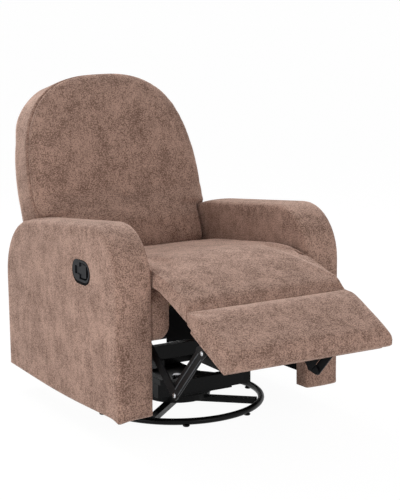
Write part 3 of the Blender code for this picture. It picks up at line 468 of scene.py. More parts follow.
def around(loop, count):
    """A closed outline with evenly spaced points."""
    p = np.asarray(loop, float)
    p = np.vstack([p, p[:1]])
    run = np.concatenate([[0], np.cumsum(np.linalg.norm(np.diff(p, axis=0), axis=1))])
    even = np.linspace(0, run[-1], count, endpoint=False)
    return np.column_stack([np.interp(even, run, p[:, i]) for i in range(p.shape[1])])


def rounded(corners, steps=10):
    points = []
    for i, (y, z, radius) in enumerate(corners):
        here = Vector((y, z))
        back = (Vector(corners[i - 1][:2]) - here).normalized()
        ahead = (Vector(corners[(i + 1) % len(corners)][:2]) - here).normalized()
        half = back.angle(ahead) / 2
        centre = here + (back + ahead).normalized() * radius / sin(half)
        reach = radius / np.tan(half)
        start = here + back * reach - centre
        sweep = start.angle_signed(here + ahead * reach - centre)
        for k in range(steps + 1):
            points.append(tuple(centre + Matrix.Rotation(-sweep * k / steps, 2) @ start))
    return points


def inward(loop):
    """Unit vectors that point into a closed outline."""
    ahead = np.roll(loop, -1, 0) - np.roll(loop, 1, 0)
    ahead /= np.linalg.norm(ahead, axis=1)[:, None]
    side = np.column_stack([-ahead[:, 1], ahead[:, 0]])
    area = np.sum(loop[:, 0] * np.roll(loop[:, 1], -1) - np.roll(loop[:, 0], -1) * loop[:, 1])
    return side if area > 0 else -side


def waves(points, size, seed):
    """Smooth noise from about -1 to 1 at each point."""
    shift = Vector((seed * 3.7, seed * 1.9, seed * 5.3))
    return np.array([noise.fractal(Vector(p) / size + shift, 0.6, 2.1, 2) for p in points])


def ease(x, low, high):
    t = np.clip((np.asarray(x, float) - low) / (high - low), 0, 1)
    return t * t * (3 - 2 * t)


def swell(obj, pressure, cap, pinned, frames=20):
    """Fills a cover as padded cloth, held at its pinned points, and keeps the filled shape."""
    mesh = obj.data
    before = coordinates(mesh)
    group = obj.vertex_groups.new(name="held")
    for i, weight in enumerate(pinned):
        if weight > 0:
            group.add([i], float(weight), "REPLACE")
    mod = obj.modifiers.new("cover", "CLOTH")
    cloth = mod.settings
    cloth.quality = 5
    cloth.mass = 0.3
    cloth.tension_stiffness = 14
    cloth.compression_stiffness = 14
    cloth.shear_stiffness = 8
    cloth.bending_stiffness = 1.5
    cloth.use_pressure = True
    cloth.uniform_pressure_force = pressure
    cloth.effector_weights.gravity = 0
    cloth.vertex_group_mass = "held"
    mod.collision_settings.use_collision = False
    mod.point_cache.frame_start = 1
    mod.point_cache.frame_end = frames
    scene = bpy.context.scene
    for number in range(1, frames + 1):
        scene.frame_set(number)
    graph = bpy.context.evaluated_depsgraph_get()
    after = coordinates(obj.evaluated_get(graph).data)
    obj.modifiers.clear()
    scene.frame_set(1)
    move = after - before
    far = np.linalg.norm(move, axis=1)
    move *= np.minimum(1, cap / np.maximum(far, 1e-9))[:, None]
    set_coordinates(mesh, before + move)
    obj.vertex_groups.clear()


# Materials


class Shader:
    """A small builder of node materials."""

    def __init__(self, name):
        self.material = bpy.data.materials.new(name)
        self.material.use_nodes = True
        self.tree = self.material.node_tree
        self.shader = self.tree.nodes["Principled BSDF"]

    def node(self, kind, **values):
        made = self.tree.nodes.new(kind)
        for key, value in values.items():
            if hasattr(made, key):
                setattr(made, key, value)
            else:
                made.inputs[key.replace("_", " ")].default_value = value
        return made

    def link(self, out, into):
        self.tree.links.new(out, into)
        return self

    def feed(self, name, out):
        return self.link(out, self.shader.inputs[name])

    def set(self, **values):
        for key, value in values.items():
            self.shader.inputs[key.replace("_", " ")].default_value = value
        return self

    def spots(self, scale, detail=2.0, roughness=0.5, stretch=(1, 1, 1)):
        place = self.node("ShaderNodeTexCoord")
        spread = self.node("ShaderNodeMapping")
        spread.inputs["Scale"].default_value = stretch
        self.link(place.outputs["Object"], spread.inputs["Vector"])
        cloud = self.node("ShaderNodeTexNoise", Scale=scale, Detail=detail, Roughness=roughness)
        self.link(spread.outputs["Vector"], cloud.inputs["Vector"])
        return cloud.outputs["Fac"]

    def ramp(self, factor, *stops):
        made = self.node("ShaderNodeValToRGB")
        elements = made.color_ramp.elements
        while len(elements) < len(stops):
            elements.new(0.5)
        for element, (place, colour) in zip(elements, stops):
            element.position = place
            element.color = (*colour, 1)
        self.link(factor, made.inputs["Fac"])
        return made.outputs["Color"]

    def math(self, kind, a, b):
        made = self.node("ShaderNodeMath", operation=kind)
        for socket, value in zip(made.inputs, (a, b)):
            if isinstance(value, (int, float)):
                socket.default_value = value
            else:
                self.link(value, socket)
        return made.outputs["Value"]

    def bump(self, height, strength, distance):
        made = self.node("ShaderNodeBump", Strength=strength, Distance=distance)
        self.link(height, made.inputs["Height"])
        return self.feed("Normal", made.outputs["Normal"])


def grey(value):
    return (value, value, value)


def tone(colour, factor):
    return tuple(c * factor for c in colour)


def fabric_material(name, colour):
    """Brushed velour: soft cloudy shading, a fine speckled nap and faint streaks down the pile."""
    m = Shader(name)
    clouds = m.spots(13, 3, 0.55)
    patches = m.spots(48, 2, 0.5)
    nap = m.spots(250, 2, 0.6)
    fleck = m.spots(560, 1, 0.5)
    streak = m.spots(75, 2, 0.5, (1, 1, 0.16))
    mix = m.math("ADD", m.math("MULTIPLY", clouds, 0.18), m.math("MULTIPLY", patches, 0.10))
    mix = m.math("ADD", mix, m.math("MULTIPLY", nap, 0.46))
    mix = m.math("ADD", mix, m.math("MULTIPLY", fleck, 0.20))
    mix = m.math("ADD", mix, m.math("MULTIPLY", streak, 0.08))
    dark = (colour[0] * 0.56, colour[1] * 0.50, colour[2] * 0.47)
    shade = m.ramp(mix, (0.43, dark), (0.50, colour), (0.57, tone(colour, 1.65)))
    m.feed("Base Color", shade)
    m.feed("Sheen Weight", m.ramp(mix, (0.44, grey(0.35)), (0.50, grey(0.85)), (0.56, grey(1.0))))
    m.set(Roughness=0.95, Specular_IOR_Level=0.1, Sheen_Roughness=0.5, Sheen_Tint=(0.9, 0.66, 0.56, 1))
    height = m.math("ADD", m.math("MULTIPLY", nap, 0.6), m.math("MULTIPLY", fleck, 0.4))
    m.bump(height, 0.55, 0.0016)
    return m.material


def steel_material(name, colour, roughness):
    """Black paint with a slight orange peel, rubbed a little greyer in places."""
    m = Shader(name)
    peel = m.spots(420, 2, 0.5)
    wear = m.spots(26, 4, 0.6)
    shade = m.ramp(wear, (0.35, tone(colour, 0.8)), (0.62, colour), (0.78, tone(colour, 2.2)))
    m.feed("Base Color", shade)
    m.feed("Roughness", m.ramp(wear, (0.3, grey(roughness - 0.06)), (0.75, grey(roughness + 0.12))))
    m.set(Metallic=0.0, Specular_IOR_Level=0.11)
    return m.bump(peel, 0.06, 0.0006).material


def zinc_material(name):
    m = Shader(name)
    brushed = m.spots(160, 3, 0.6)
    m.feed("Base Color", m.ramp(brushed, (0.3, (0.42, 0.43, 0.45)), (0.7, (0.66, 0.67, 0.69))))
    m.feed("Roughness", m.ramp(brushed, (0.3, grey(0.22)), (0.75, grey(0.42))))
    m.set(Metallic=1.0)
    return m.bump(brushed, 0.08, 0.0004).material


def plastic_material(name, colour):
    m = Shader(name)
    grain = m.spots(900, 2, 0.5)
    haze = m.spots(40, 3, 0.5)
    m.feed("Base Color", m.ramp(haze, (0.3, tone(colour, 0.8)), (0.7, tone(colour, 1.25))))
    m.feed("Roughness", m.ramp(grain, (0.3, grey(0.34)), (0.7, grey(0.5))))
    m.set(Specular_IOR_Level=0.14)
    return m.bump(grain, 0.12, 0.0004).material


def wood_material(name, colour):
    m = Shader(name)
    grain = m.spots(55, 5, 0.6, (1, 0.08, 0.5))
    shade = m.ramp(grain, (0.3, tone(colour, 0.72)), (0.5, colour), (0.75, tone(colour, 1.15)))
    m.feed("Base Color", shade)
    m.set(Roughness=0.7)
    return m.bump(grain, 0.15, 0.001).material


def cloth_material(name, colour):
    m = Shader(name)
    fibre = m.spots(650, 3, 0.6)
    m.feed("Base Color", m.ramp(fibre, (0.3, tone(colour, 0.6)), (0.7, tone(colour, 1.5))))
    m.set(Roughness=0.92, Specular_IOR_Level=0.08)
    return m.bump(fibre, 0.3, 0.0008).material


FABRIC = fabric_material("taupe_velour", (0.300, 0.190, 0.148))
STEEL = steel_material("black_satin_paint", (0.0035, 0.0036, 0.004), 0.30)
LINK_STEEL = steel_material("charcoal_satin_paint", (0.012, 0.0125, 0.0135), 0.34)
# Lighter grey for the front links' raised edges: painted highlight along the edges
HIGHLIGHT_STEEL = steel_material("painted_highlight_grey", (0.11, 0.115, 0.125), 0.30)
ZINC = zinc_material("zinc_plate")
PLASTIC = plastic_material("charcoal_moulding", (0.006, 0.007, 0.009))
WOOD = wood_material("raw_plywood", (0.50, 0.34, 0.19))
DUST = cloth_material("black_dust_cloth", (0.0045, 0.0045, 0.005))
GLIDE = plastic_material("black_nylon", (0.012, 0.012, 0.012))
# Black cloth for the ring round the handle's cup: painted shadow of the cloth tucked round the cup
PAINTED_TUCK_SHADOW = cloth_material("painted_tuck_shadow", (0.004, 0.0035, 0.0033))
SLOT_LOOK = {
    "black_steel": STEEL,
    "zinc": ZINC,
    "charcoal_plastic": PLASTIC,
    "plywood": WOOD,
    "glide": GLIDE,
    "upholstery": FABRIC,
    "dust_cloth": DUST,
}


# Arms


def arm_outline():
    front, rear, low = ARM_FRONT, ARM_REAR, ARM_BOTTOM
    corners = [
        (front, low, ARM_FOOT_ROUND),
        ((front + rear) / 2, low - ARM_SAG, ARM_SAG_ROUND),
        (rear - ARM_REAR_LEAN, low, ARM_FOOT_ROUND),
        (rear + ARM_REAR_LEAN, ARM_REAR_HEIGHT, ARM_REAR_ROUND),
        (front, ARM_FRONT_HEIGHT, ARM_FRONT_ROUND),
    ]
    return around(rounded(corners), ARM_POINTS)


def arm_rows(loop, side, face):
    """Rings over half of an arm, from the middle of its band to the middle of one side face."""
    inner = inward(loop)
    lift = ease(loop[:, 1], ARM_BOTTOM - ARM_HEM_LOW, ARM_BOTTOM + ARM_HEM_HIGH)
    sign = 1 if face == ARM_OUTER else -1
    rows = []
    for depth, inset in ARM_BAND:
        edge = loop + inner * (inset * lift)[:, None]
        rows.append([(side * (face - sign * depth), y, z) for y, z in edge])
    middle = np.array([(ARM_FRONT + ARM_REAR) / 2, (ARM_BOTTOM + ARM_FRONT_HEIGHT) / 2 - PANEL_DROP])
    bulge = PANEL_BULGE if sign > 0 else PANEL_INNER_BULGE
    for k in range(1, PANEL_RINGS):
        share = k / PANEL_RINGS
        ring = middle + (edge - middle) * (1 - share)
        rise = ease(ring[:, 1], ARM_BOTTOM, ARM_BOTTOM + PANEL_BULGE_RISE)
        puff = bulge * ease(share, 0.0, PANEL_BULGE_SHARE) * rise
        if sign > 0 and side == HANDLE_SIDE:
            away = np.hypot((ring[:, 0] - HANDLE_Y) * CUP_FLAT_SQUEEZE, ring[:, 1] - HANDLE_HEIGHT)
            puff = puff * ease(away, *CUP_FLAT) + CUP_FLAT_LEVEL
        flat = np.column_stack([ring, np.zeros(len(ring))])
        ripple = waves(flat, PANEL_FOLD_SIZE, seed=4 + side + sign)
        fold = PANEL_FOLD * ripple * ease(share, 0.0, PANEL_FOLD_SHARE)
        rows.append([(side * (face + sign * (p + f)), y, z) for (y, z), p, f in zip(ring, puff, fold)])
    return rows


def make_arm(name, side):
    loop = arm_outline()
    loops = arm_rows(loop, side, ARM_INNER)[::-1] + arm_rows(loop, side, ARM_OUTER)[1:]
    hubs = [tuple(np.mean(np.array(row), axis=0)) for row in (loops[0], loops[-1])]
    points, faces = loops_mesh(loops, tips=hubs)
    points = np.array(points)
    if side == HANDLE_SIDE:
        along, across = ARM_DROOP_REACH
        corner = np.hypot((points[:, 1] - ARM_FRONT) / along, (np.abs(points[:, 0]) - ARM_OUTER) / across)
        low = ease(ARM_BOTTOM + ARM_DROOP_HEIGHT - points[:, 2], 0.0, ARM_DROOP_HEIGHT)
        points[:, 2] -= ARM_DROOP * np.exp(-corner**2) * low
    arm = mesh_object(f"arm_{name}", points, faces, FABRIC)
    open_skirt(arm, side)
    if side == HANDLE_SIDE:
        cut_cup(arm)
    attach(arm, "seat_frame")
    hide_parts(f"arm_cover_{name}")


def stadium(length, width, steps=14):
    reach = (length - width) / 2
    radius = width / 2
    points = []
    for end, start in ((1, -pi / 2), (-1, pi / 2)):
        for k in range(steps + 1):
            a = start + pi * k / steps
            points.append((HANDLE_Y + end * reach + radius * cos(a), HANDLE_HEIGHT + radius * sin(a)))
    return points


def cut(obj, line, across, lining):
    """Takes a prism out of an object and leaves the lining's material on the cut."""
    loops = [[(x, y, z) for y, z in line] for x in across]
    cutter = mesh_object("cutter", *loops_mesh(loops), lining, smooth=False)
    mod = obj.modifiers.new("cut", "BOOLEAN")
    mod.operation = "DIFFERENCE"
    mod.solver = "EXACT"
    mod.material_mode = "TRANSFER"
    mod.object = cutter
    settle(obj)
    bpy.data.objects.remove(cutter, do_unlink=True)


def open_skirt(arm, side):
    """Opens the arm's inner side below the skirt, between a front and a rear post."""
    front, rear = ARM_FRONT + ARM_POST, ARM_REAR - ARM_POST
    low = ARM_BOTTOM - CUT_BELOW
    corners = [
        (front, low, CUT_LOW_ROUND),
        (rear, low, CUT_LOW_ROUND),
        (rear, ARM_SKIRT, CUT_ROUND),
        (front, ARM_SKIRT, CUT_ROUND),
    ]
    cut(arm, rounded(corners, steps=4), (side * (ARM_INNER - CUT_PAST), side * (ARM_OUTER - ARM_WALL)), DUST)


def cut_cup(arm):
    """Opens the arm's outer side for the handle's cup."""
    cut(arm, stadium(*CUP_TUB), (-ARM_OUTER - CUT_PAST, -ARM_OUTER + CUP_DEPTH), FABRIC)
    arm.data.polygons.foreach_set("use_smooth", [True] * len(arm.data.polygons))


def make_cup_rim():
    """A black ring round the handle's cup, wider below: painted shadow of the cloth tucked in round the cup.
    """
    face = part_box("handle_cup")[0][0]

    def line(size, bevel, drop, behind):
        return [(face + behind, y, z - drop) for y, z in stadium(size[0] - bevel, size[1] - bevel)]

    inner_low = line(CUP_RIM_INNER, 0.0, 0.0, CUP_RIM_ROOT)
    inner_top = line(CUP_RIM_INNER, 0.0, 0.0, CUP_RIM_TOP)
    outer_top = line(CUP_RIM, CUP_RIM_BEVEL, CUP_RIM_DROP, CUP_RIM_EDGE)
    outer_low = line(CUP_RIM, 0.0, CUP_RIM_DROP, CUP_RIM_ROOT)
    points, faces = loops_mesh([inner_low, inner_top, outer_top, outer_low, inner_low], caps=False)
    # The ring's black is painted shadow of the tuck round the cup
    rim = mesh_object("cup_rim", points, faces, PAINTED_TUCK_SHADOW)
    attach(rim, "seat_frame")


# Back


def on_back(across, up, forward):
    y = BACK_Y + up * sin(BACK_TILT) - forward * cos(BACK_TILT)
    return across, y, BACK_HEIGHT + up * cos(BACK_TILT) + forward * sin(BACK_TILT)


def back_outline():
    low, high = BACK_LOW_WIDTH / 2, BACK_WIDTH / 2
    # The low corner, the step above the arms and the wide corner beside it
    half = [
        (0.0, BACK_BOTTOM),
        (low - 0.02, BACK_BOTTOM),
        (low - 0.006, BACK_BOTTOM + 0.006),
        (low, BACK_BOTTOM + 0.02),
        (low, BACK_STEP - 0.012),
        (low + 0.006, BACK_STEP),
        (high - 0.022, BACK_STEP + BACK_STEP_RISE * 0.4),
        (high - 0.009, BACK_STEP + BACK_STEP_RISE * 0.7),
        (high - 0.002, BACK_STEP + BACK_STEP_RISE + 0.008),
    ]
    for k in range(1, BACK_ARCH_STEPS):
        a = pi / 2 * k / BACK_ARCH_STEPS
        across = high * cos(a) ** (2 / BACK_ARCH_POWER)
        half.append((across, BACK_SHOULDER + BACK_ARCH * sin(a) ** (2 / BACK_ARCH_POWER)))
    half.append((0.0, BACK_SHOULDER + BACK_ARCH))
    mirrored = [(-u, v) for u, v in half[-2:0:-1]]
    return around(half + mirrored, BACK_POINTS)


def make_back():
    loop = back_outline()
    inner = inward(loop)
    up = loop[:, 1]
    middle = np.array([0.0, BACK_SHOULDER])
    rear = -BACK_DEPTH
    shoulder = BACK_REAR_FULL * ease(up, *BACK_FULL_FROM) * ease(BACK_FULL_TOP - up, 0.0, BACK_FULL_FADE)
    rows = []
    held = []

    def ring(forward, inset, share=1.0, hold=0, crown=0.0):
        ahead = np.clip((forward - rear) / BACK_DEPTH, 0, 1)
        low_edge = BACK_LOW_ROUND * ease(ahead, *BACK_LOW_AHEAD) ** 2
        low_edge = low_edge * ease(BACK_LOW_TOP - up, 0.0, BACK_LOW_FADE)
        inside = inset + low_edge - shoulder * (1 - ahead)
        line = middle + (loop + inner * inside[:, None] - middle) * share
        v = line[:, 1]
        push = BACK_LOW_PUSH * ahead * ease(BACK_PUSH_TOP - v, 0.0, BACK_PUSH_FADE)
        push *= ease(v, *BACK_PUSH_LOW)
        push *= 1 - BACK_EAR_HOLD * ease(np.abs(line[:, 0]), *BACK_EAR)
        rise = crown * (BACK_CROWN_LEAST + (1 - BACK_CROWN_LEAST) * ease(v, *BACK_CROWN_RISE))
        rows.append([on_back(a, b, forward + c) for (a, b), c in zip(line, push + rise)])
        held.append(hold)

    for k in range(BACK_REAR_RINGS, 0, -1):
        share = 1 - 0.95 * (k / BACK_REAR_RINGS) ** 1.5
        ring(rear - BACK_REAR_CROWN * (1 - share**4), BACK_REAR_INSET, share)
    for forward, inset, hold in REAR_SEAM:
        ring(rear + forward, inset, hold=hold)
    for k in range(1, BACK_BAND_RINGS):
        forward = rear + BACK_BAND_EDGE + (BACK_DEPTH - 2 * BACK_BAND_EDGE) * k / BACK_BAND_RINGS
        ring(forward, BACK_BAND_INSET)
    for forward, inset, hold in FRONT_SEAM:
        ring(forward, inset, hold=hold)
    for k in range(1, BACK_FRONT_RINGS + 1):
        share = 1 - 0.97 * (k / BACK_FRONT_RINGS) ** 1.7
        ring(BACK_FRONT_LEVEL, BACK_FRONT_INSET, share, crown=(1 - share**5) ** 0.6 * BACK_CROWN)
    rear_hub = on_back(0, BACK_SHOULDER, rear - BACK_REAR_CROWN)
    front_hub = on_back(0, BACK_SHOULDER, BACK_CROWN)
    points, faces = loops_mesh(rows, tips=(rear_hub, front_hub))
    back = mesh_object("back", points, faces, FABRIC)
    pins = np.concatenate([np.repeat(held, len(loop)), [BACK_HUB_HOLD, 0.0]])
    swell(back, pressure=1.2, cap=0.0025, pinned=pins)
    co = coordinates(back.data)
    push = BACK_WAVE * waves(co, BACK_WAVE_SIZE, seed=2)
    co += normals(back.data) * push[:, None]
    # The low part is held between the arms
    wall = ARM_INNER - PANEL_INNER_BULGE - BACK_WALL_GAP
    low = np.concatenate([np.tile(up < BACK_STEP, len(rows)), [False, False]])
    co[:, 0] = np.where(low, np.clip(co[:, 0], -wall, wall), co[:, 0])
    set_coordinates(back.data, co)
    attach(back, "back")
    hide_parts("back_cushion", "back_cover")


# Seat and chaise


def across_grid(count, edge=0.10):
    """Places across a pad from -1 to 1, closer together towards its sides."""
    t = np.linspace(-1, 1, count + 1)
    return t + edge * np.sin(pi * t)


def seat_point(row, t, s):
    """A point of the cover: t from -1 to 1 across a row, and s from 0 to 1 up it."""
    ty, tz, by, bz, rise = row
    forward = ease(-ty, *CHAISE_FROM)
    waist = np.clip((-ty - CHAISE_WAIST_AT[0]) / CHAISE_WAIST_AT[1], 0, 1)
    half = SEAT_HALF + (FOOTREST_HALF - CHAISE_NARROW - SEAT_HALF) * forward
    half += CHAISE_FLARE * float(ease(-ty, *CHAISE_FLARE_FROM)) - CHAISE_WAIST * sin(pi * waist)
    crown = (SEAT_CROWN + (CHAISE_CROWN - SEAT_CROWN) * forward) * rise * (1 - abs(t) ** CROWN_POWER)
    drop = float(ease(abs(t), CHAISE_EDGE, 1.0)) ** 2 * forward
    half -= CHAISE_EDGE_IN * drop * (2 * s - 1) ** 2
    low = bz + CHAISE_EDGE_UP * drop
    high = tz + crown - CHAISE_EDGE_DOWN * drop
    return half * t, by + (ty - by) * s, low + (high - low) * s


def make_seat():
    """The seat and the chaise, shaped as one cover and then parted."""
    fine = curve_through(SEAT_KNOTS, count=1000)
    parting = int(np.argmin(np.abs(fine[:, 0] - ARM_FRONT)))
    seat_rows = np.linspace(0, parting, SEAT_ROWS + 1).astype(int)
    chaise_rows = np.linspace(parting, len(fine) - 1, CHAISE_ROWS + 1).astype(int)
    rows = fine[np.concatenate([seat_rows, chaise_rows[1:]])]
    length = SEAT_ROWS + CHAISE_ROWS
    places, faces = box_grid(length, SEAT_ACROSS, SEAT_LAYERS)
    xs = across_grid(SEAT_ACROSS)
    points = []
    pins = []
    for u, v, w in places:
        s = w / SEAT_LAYERS
        points.append(seat_point(rows[u], xs[v], s))
        pins.append(1.0 if s < SEAT_HELD or u in (0, length) else 0.0)
    whole = mesh_object("seat_whole", points, faces, FABRIC)
    chaise_faces = [min(places[i][0] for i in face) >= SEAT_ROWS for face in faces]
    whole.data.polygons.foreach_set("material_index", [int(c) for c in chaise_faces])
    whole.data.materials.append(FABRIC)
    swell(whole, pressure=1.6, cap=0.007, pinned=pins)
    co = coordinates(whole.data)
    wall = ARM_INNER - SEAT_WALL_GAP
    between = (co[:, 1] - SETBACK) > ARM_FRONT - SEAT_WALL_PAST
    co[:, 0] = np.where(between, np.clip(co[:, 0], -wall, wall), co[:, 0])
    set_coordinates(whole.data, co)
    subdivide(whole)
    co = coordinates(whole.data)
    n = normals(whole.data)
    push = SEAT_WAVE * waves(co, SEAT_WAVE_SIZE, seed=7) * ease(n[:, 2], 0.2, 0.8)
    y = co[:, 1] - SETBACK
    for side in (1, -1):
        across, along = TUCK_REACH
        near = np.exp(-((co[:, 0] - side * TUCK_X) / across) ** 2 - ((y - TUCK_Y) / along) ** 2)
        push -= TUCK_DEPTH * near * ease(n[:, 2], 0.1, 0.6)
    set_coordinates(whole.data, co + n * push[:, None])
    split_seat(whole)


def edge_ring(faces):
    """The points round the edge of an open skin, in order."""
    edges = dict.fromkeys((f[i], f[(i + 1) % len(f)]) for f in faces for i in range(len(f)))
    follows = {a: b for a, b in edges if (b, a) not in edges}
    ring = [next(iter(follows))]
    while follows[ring[-1]] != ring[0]:
        ring.append(follows[ring[-1]])
    return ring


def seat_piece(whole, part, name, ahead):
    """One part of the finished cover, with a rounded end that reaches ahead into the other part."""
    mesh = whole.data
    co = coordinates(mesh)
    facing = normals(mesh)
    polys = [tuple(p.vertices) for p in mesh.polygons if p.material_index == part]
    used = sorted({i for p in polys for i in p})
    renumber = {old: new for new, old in enumerate(used)}
    faces = [tuple(renumber[i] for i in p) for p in polys]
    points = [co[i] for i in used]
    vectors = [facing[i] for i in used]
    outward = Vector((0, ahead, 0))
    ring = edge_ring(faces)
    rim = np.array([points[i] for i in ring])
    middle = rim.mean(axis=0)
    last = ring
    for step, shrink in END_STEPS:
        narrow = np.array((1 - (1 - shrink) * END_NARROW, 1, shrink))
        row = middle + (rim - middle) * narrow + (0, ahead * step, 0)
        now = list(range(len(points), len(points) + len(row)))
        points += list(row)
        vectors += [outward] * len(row)
        for i in range(len(ring)):
            j = (i + 1) % len(ring)
            faces.append((last[j], last[i], now[i], now[j]))
        last = now
    hub = len(points)
    points.append(middle + (0, ahead * END_TIP, 0))
    vectors.append(outward)
    faces += [(last[(i + 1) % len(last)], last[i], hub) for i in range(len(last))]
    piece = bpy.data.meshes.new(name)
    piece.from_pydata([tuple(p) for p in points], [], faces)
    piece.materials.append(FABRIC)
    piece.polygons.foreach_set("use_smooth", [True] * len(piece.polygons))
    piece.update()
    piece.normals_split_custom_set_from_vertices([tuple(v) for v in vectors])
    return linked(name, piece)


def split_seat(whole):
    """Parts the finished cover at the arms' front, into a seat that stays and a chaise that folds."""
    seat = seat_piece(whole, 0, "seat", -1)
    chaise = seat_piece(whole, 1, "chaise", 1)
    bpy.data.objects.remove(whole, do_unlink=True)
    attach(seat, "seat_frame")
    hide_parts("seat_cushion")
    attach(chaise, "chaise")
    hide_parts("chaise_pad")
    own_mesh(chaise)


# Footrest


def on_footrest(along, above):
    y = FOOTREST_CORNER[0] - along * cos(FOOTREST_SLOPE) - above * sin(FOOTREST_SLOPE)
    return y, FOOTREST_CORNER[1] - along * sin(FOOTREST_SLOPE) + above * cos(FOOTREST_SLOPE)


def make_footrest_pad():
    end = FOOTREST_LENGTH
    low = BOARD_THICK + PAD_LIFT
    high = low + PAD_THICK
    # From the crease to the front edge: the top, the underside below it, and the crown's share there
    knots = (
        (CREASE_TOP[0] - CREASE_GAP, CREASE_TOP[1], CREASE_BOTTOM[0] - CREASE_GAP, CREASE_BOTTOM[1], 0.1),
        (*on_footrest(-0.004, high - 0.0075), *on_footrest(-0.001, low), 0.6),
        (*on_footrest(0.02, high - 0.002), *on_footrest(0.02, low), 0.85),
        (*on_footrest(0.06, high), *on_footrest(0.06, low), 1.0),
        (*on_footrest(0.125, high), *on_footrest(0.125, low), 1.0),
        (*on_footrest(0.19, high - 0.001), *on_footrest(0.19, low), 1.0),
        (*on_footrest(0.217, high - 0.005), *on_footrest(0.215, low + 0.002), 0.7),
        (*on_footrest(end - 0.001, high - 0.017), *on_footrest(end - 0.004, low + 0.012), 0.3),
    )
    nu, nv, nw = 30, 56, 5
    rows = curve_through(knots, nu + 1)
    places, faces = box_grid(nu, nv, nw)
    xs = across_grid(nv)
    points = []
    pins = []
    for u, v, w in places:
        ty, tz, by, bz, rise = rows[u]
        t = xs[v]
        s = w / nw
        half = FOOTREST_HALF + PAD_WIDER + PAD_FLARE * u / nu - PAD_WAIST * sin(pi * u / nu)
        crown = FOOTREST_CROWN * rise * (1 - abs(t) ** CROWN_POWER)
        points.append((half * t, by + (ty - by) * s, bz + (tz + crown - bz) * s))
        pins.append(1.0 if w == 0 or (u == 0 and w < nw) else 0.0)
    pad = mesh_object("footrest_cushion", points, faces, FABRIC)
    swell(pad, pressure=1.6, cap=0.006, pinned=pins)
    subdivide(pad)
    co = coordinates(pad.data)
    n = normals(pad.data)
    push = FOOTREST_WAVE * waves(co, FOOTREST_WAVE_SIZE, seed=9) * ease(n[:, 2], 0.2, 0.8)
    set_coordinates(pad.data, co + n * push[:, None])
    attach(pad, "footrest")
    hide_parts("footrest_pad")


def make_footrest_board():
    nu, nv, nw = 24, 60, 3
    places, faces = box_grid(nu, nv, nw)
    half = FOOTREST_HALF - BOARD_NARROW
    points = []
    for u, v, w in places:
        along = BOARD_END_GAP + (BOARD_LENGTH - 2 * BOARD_END_GAP) * u / nu
        above = BOARD_FACE_GAP + (BOARD_THICK - 2 * BOARD_FACE_GAP) * w / nw
        y, z = on_footrest(along, above)
        points.append((half * (2 * v / nv - 1), y, z))
    board = mesh_object("footrest_board_cover", points, faces, FABRIC)
    subdivide(board)
    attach(board, "footrest")
    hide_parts("footrest_board")


# Seat box


def make_rails():
    for name, side in SIDES:
        low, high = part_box(f"seat_rail_{name}")
        front, rear = low[1] - SETBACK - RAIL_WRAP, high[1] - SETBACK
        inner, outer = sorted((abs(low[0]), abs(high[0])))
        slope = (RAIL_REAR_HEIGHT - RAIL_FRONT_HEIGHT) / (rear - front)
        loops = []
        for k in range(RAIL_ROWS + 1):
            y = front + (rear - front) * k / RAIL_ROWS
            crest = RAIL_FRONT_HEIGHT + slope * (y - front) + RAIL_PAD
            at_end = float(ease(front + RAIL_POST_DEPTH - y, 0.0, RAIL_POST_FADE))
            rear_share = float(ease(y - front, 0.0, RAIL_LIP_DEPTH))
            crest += at_end * (RAIL_LIP + (RAIL_POST - RAIL_LIP) * rear_share)
            sole = low[2] + RAIL_FIT - RAIL_DROP * at_end * float(ease(y - front, *RAIL_DROP_FROM))
            soft = RAIL_SOFT * max(0.0, 1 - (y - front) / RAIL_SOFT_DEPTH) ** 2
            a, b = inner + RAIL_FIT + soft, outer - RAIL_FIT - soft * 0.3
            corners = [
                (a, sole + soft, RAIL_SOLE_ROUND + RAIL_POST_ROUND * at_end),
                (b, sole + soft, RAIL_ROUND),
                (b, crest - soft, RAIL_CREST_ROUND),
                (a, crest - soft, RAIL_ROUND),
            ]
            line = around(rounded(corners, steps=6), RAIL_POINTS)
            loops.append([(side * x, y, z) for x, z in line])
        points, faces = loops_mesh(loops)
        rail = mesh_object(f"rail_wrap_{name}", points, faces, FABRIC)
        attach(rail, "seat_frame")
        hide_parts(f"seat_rail_{name}")


def make_dust_cloth():
    low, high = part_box("dust_cover")
    front, rear = low[1] - SETBACK, high[1] - SETBACK
    half = high[0] - DUST_SIDE_GAP
    hem, crest = low[2], high[2]
    lip = ARM_FRONT + DUST_LIP
    # From the lip, down the front, round the hem and back under the seat
    path = [
        (lip + 0.02, DUST_TOP - 0.0005),
        (lip, DUST_TOP),
        (lip, crest + 0.012),
        (front + 0.0006, crest - 0.01),
        (front + 0.0006, hem + 0.001),
        (front + 0.0012, hem),
        (front + 0.0020, hem + 0.001),
        (front + 0.0024, DUST_LEVEL - 0.004),
        (front + 0.006, DUST_LEVEL),
        (rear, DUST_LEVEL),
    ]
    steps = []
    for a, b in zip(path, path[1:]):
        count = max(1, int(np.hypot(b[0] - a[0], b[1] - a[1]) / DUST_GRID))
        steps += [tuple(np.array(a) + (np.array(b) - np.array(a)) * k / count) for k in range(count)]
    steps.append(path[-1])
    points = []
    for y, z in steps:
        for k in range(DUST_ACROSS + 1):
            t = 2 * k / DUST_ACROSS - 1
            sag = DUST_SAG * (1 - t**4) * ease(y, front + 0.02, front + 0.1) * ease(rear - y, 0.0, 0.1)
            points.append((half * t, y, z - sag))
    width = DUST_ACROSS + 1
    faces = [(r * width + k, r * width + k + 1, (r + 1) * width + k + 1, (r + 1) * width + k)
             for r in range(len(steps) - 1) for k in range(DUST_ACROSS)]
    cloth = mesh_object("dust_cloth", points, faces, DUST)
    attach(cloth, "seat_frame")
    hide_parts("dust_cover")


# Steel


def make_base():
    low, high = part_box("base_ring")
    tube = (high[2] - low[2]) / 2
    radius = high[0] - tube
    middle = (low[2] + high[2]) / 2
    profile = [(radius + tube * cos(a), middle + tube * sin(a)) for a in circle(RING_SIDES)]
    ring = mesh_object("ring_tube", *lathe(profile, RING_STEPS), STEEL)
    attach(ring, "base")
    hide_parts("base_ring")


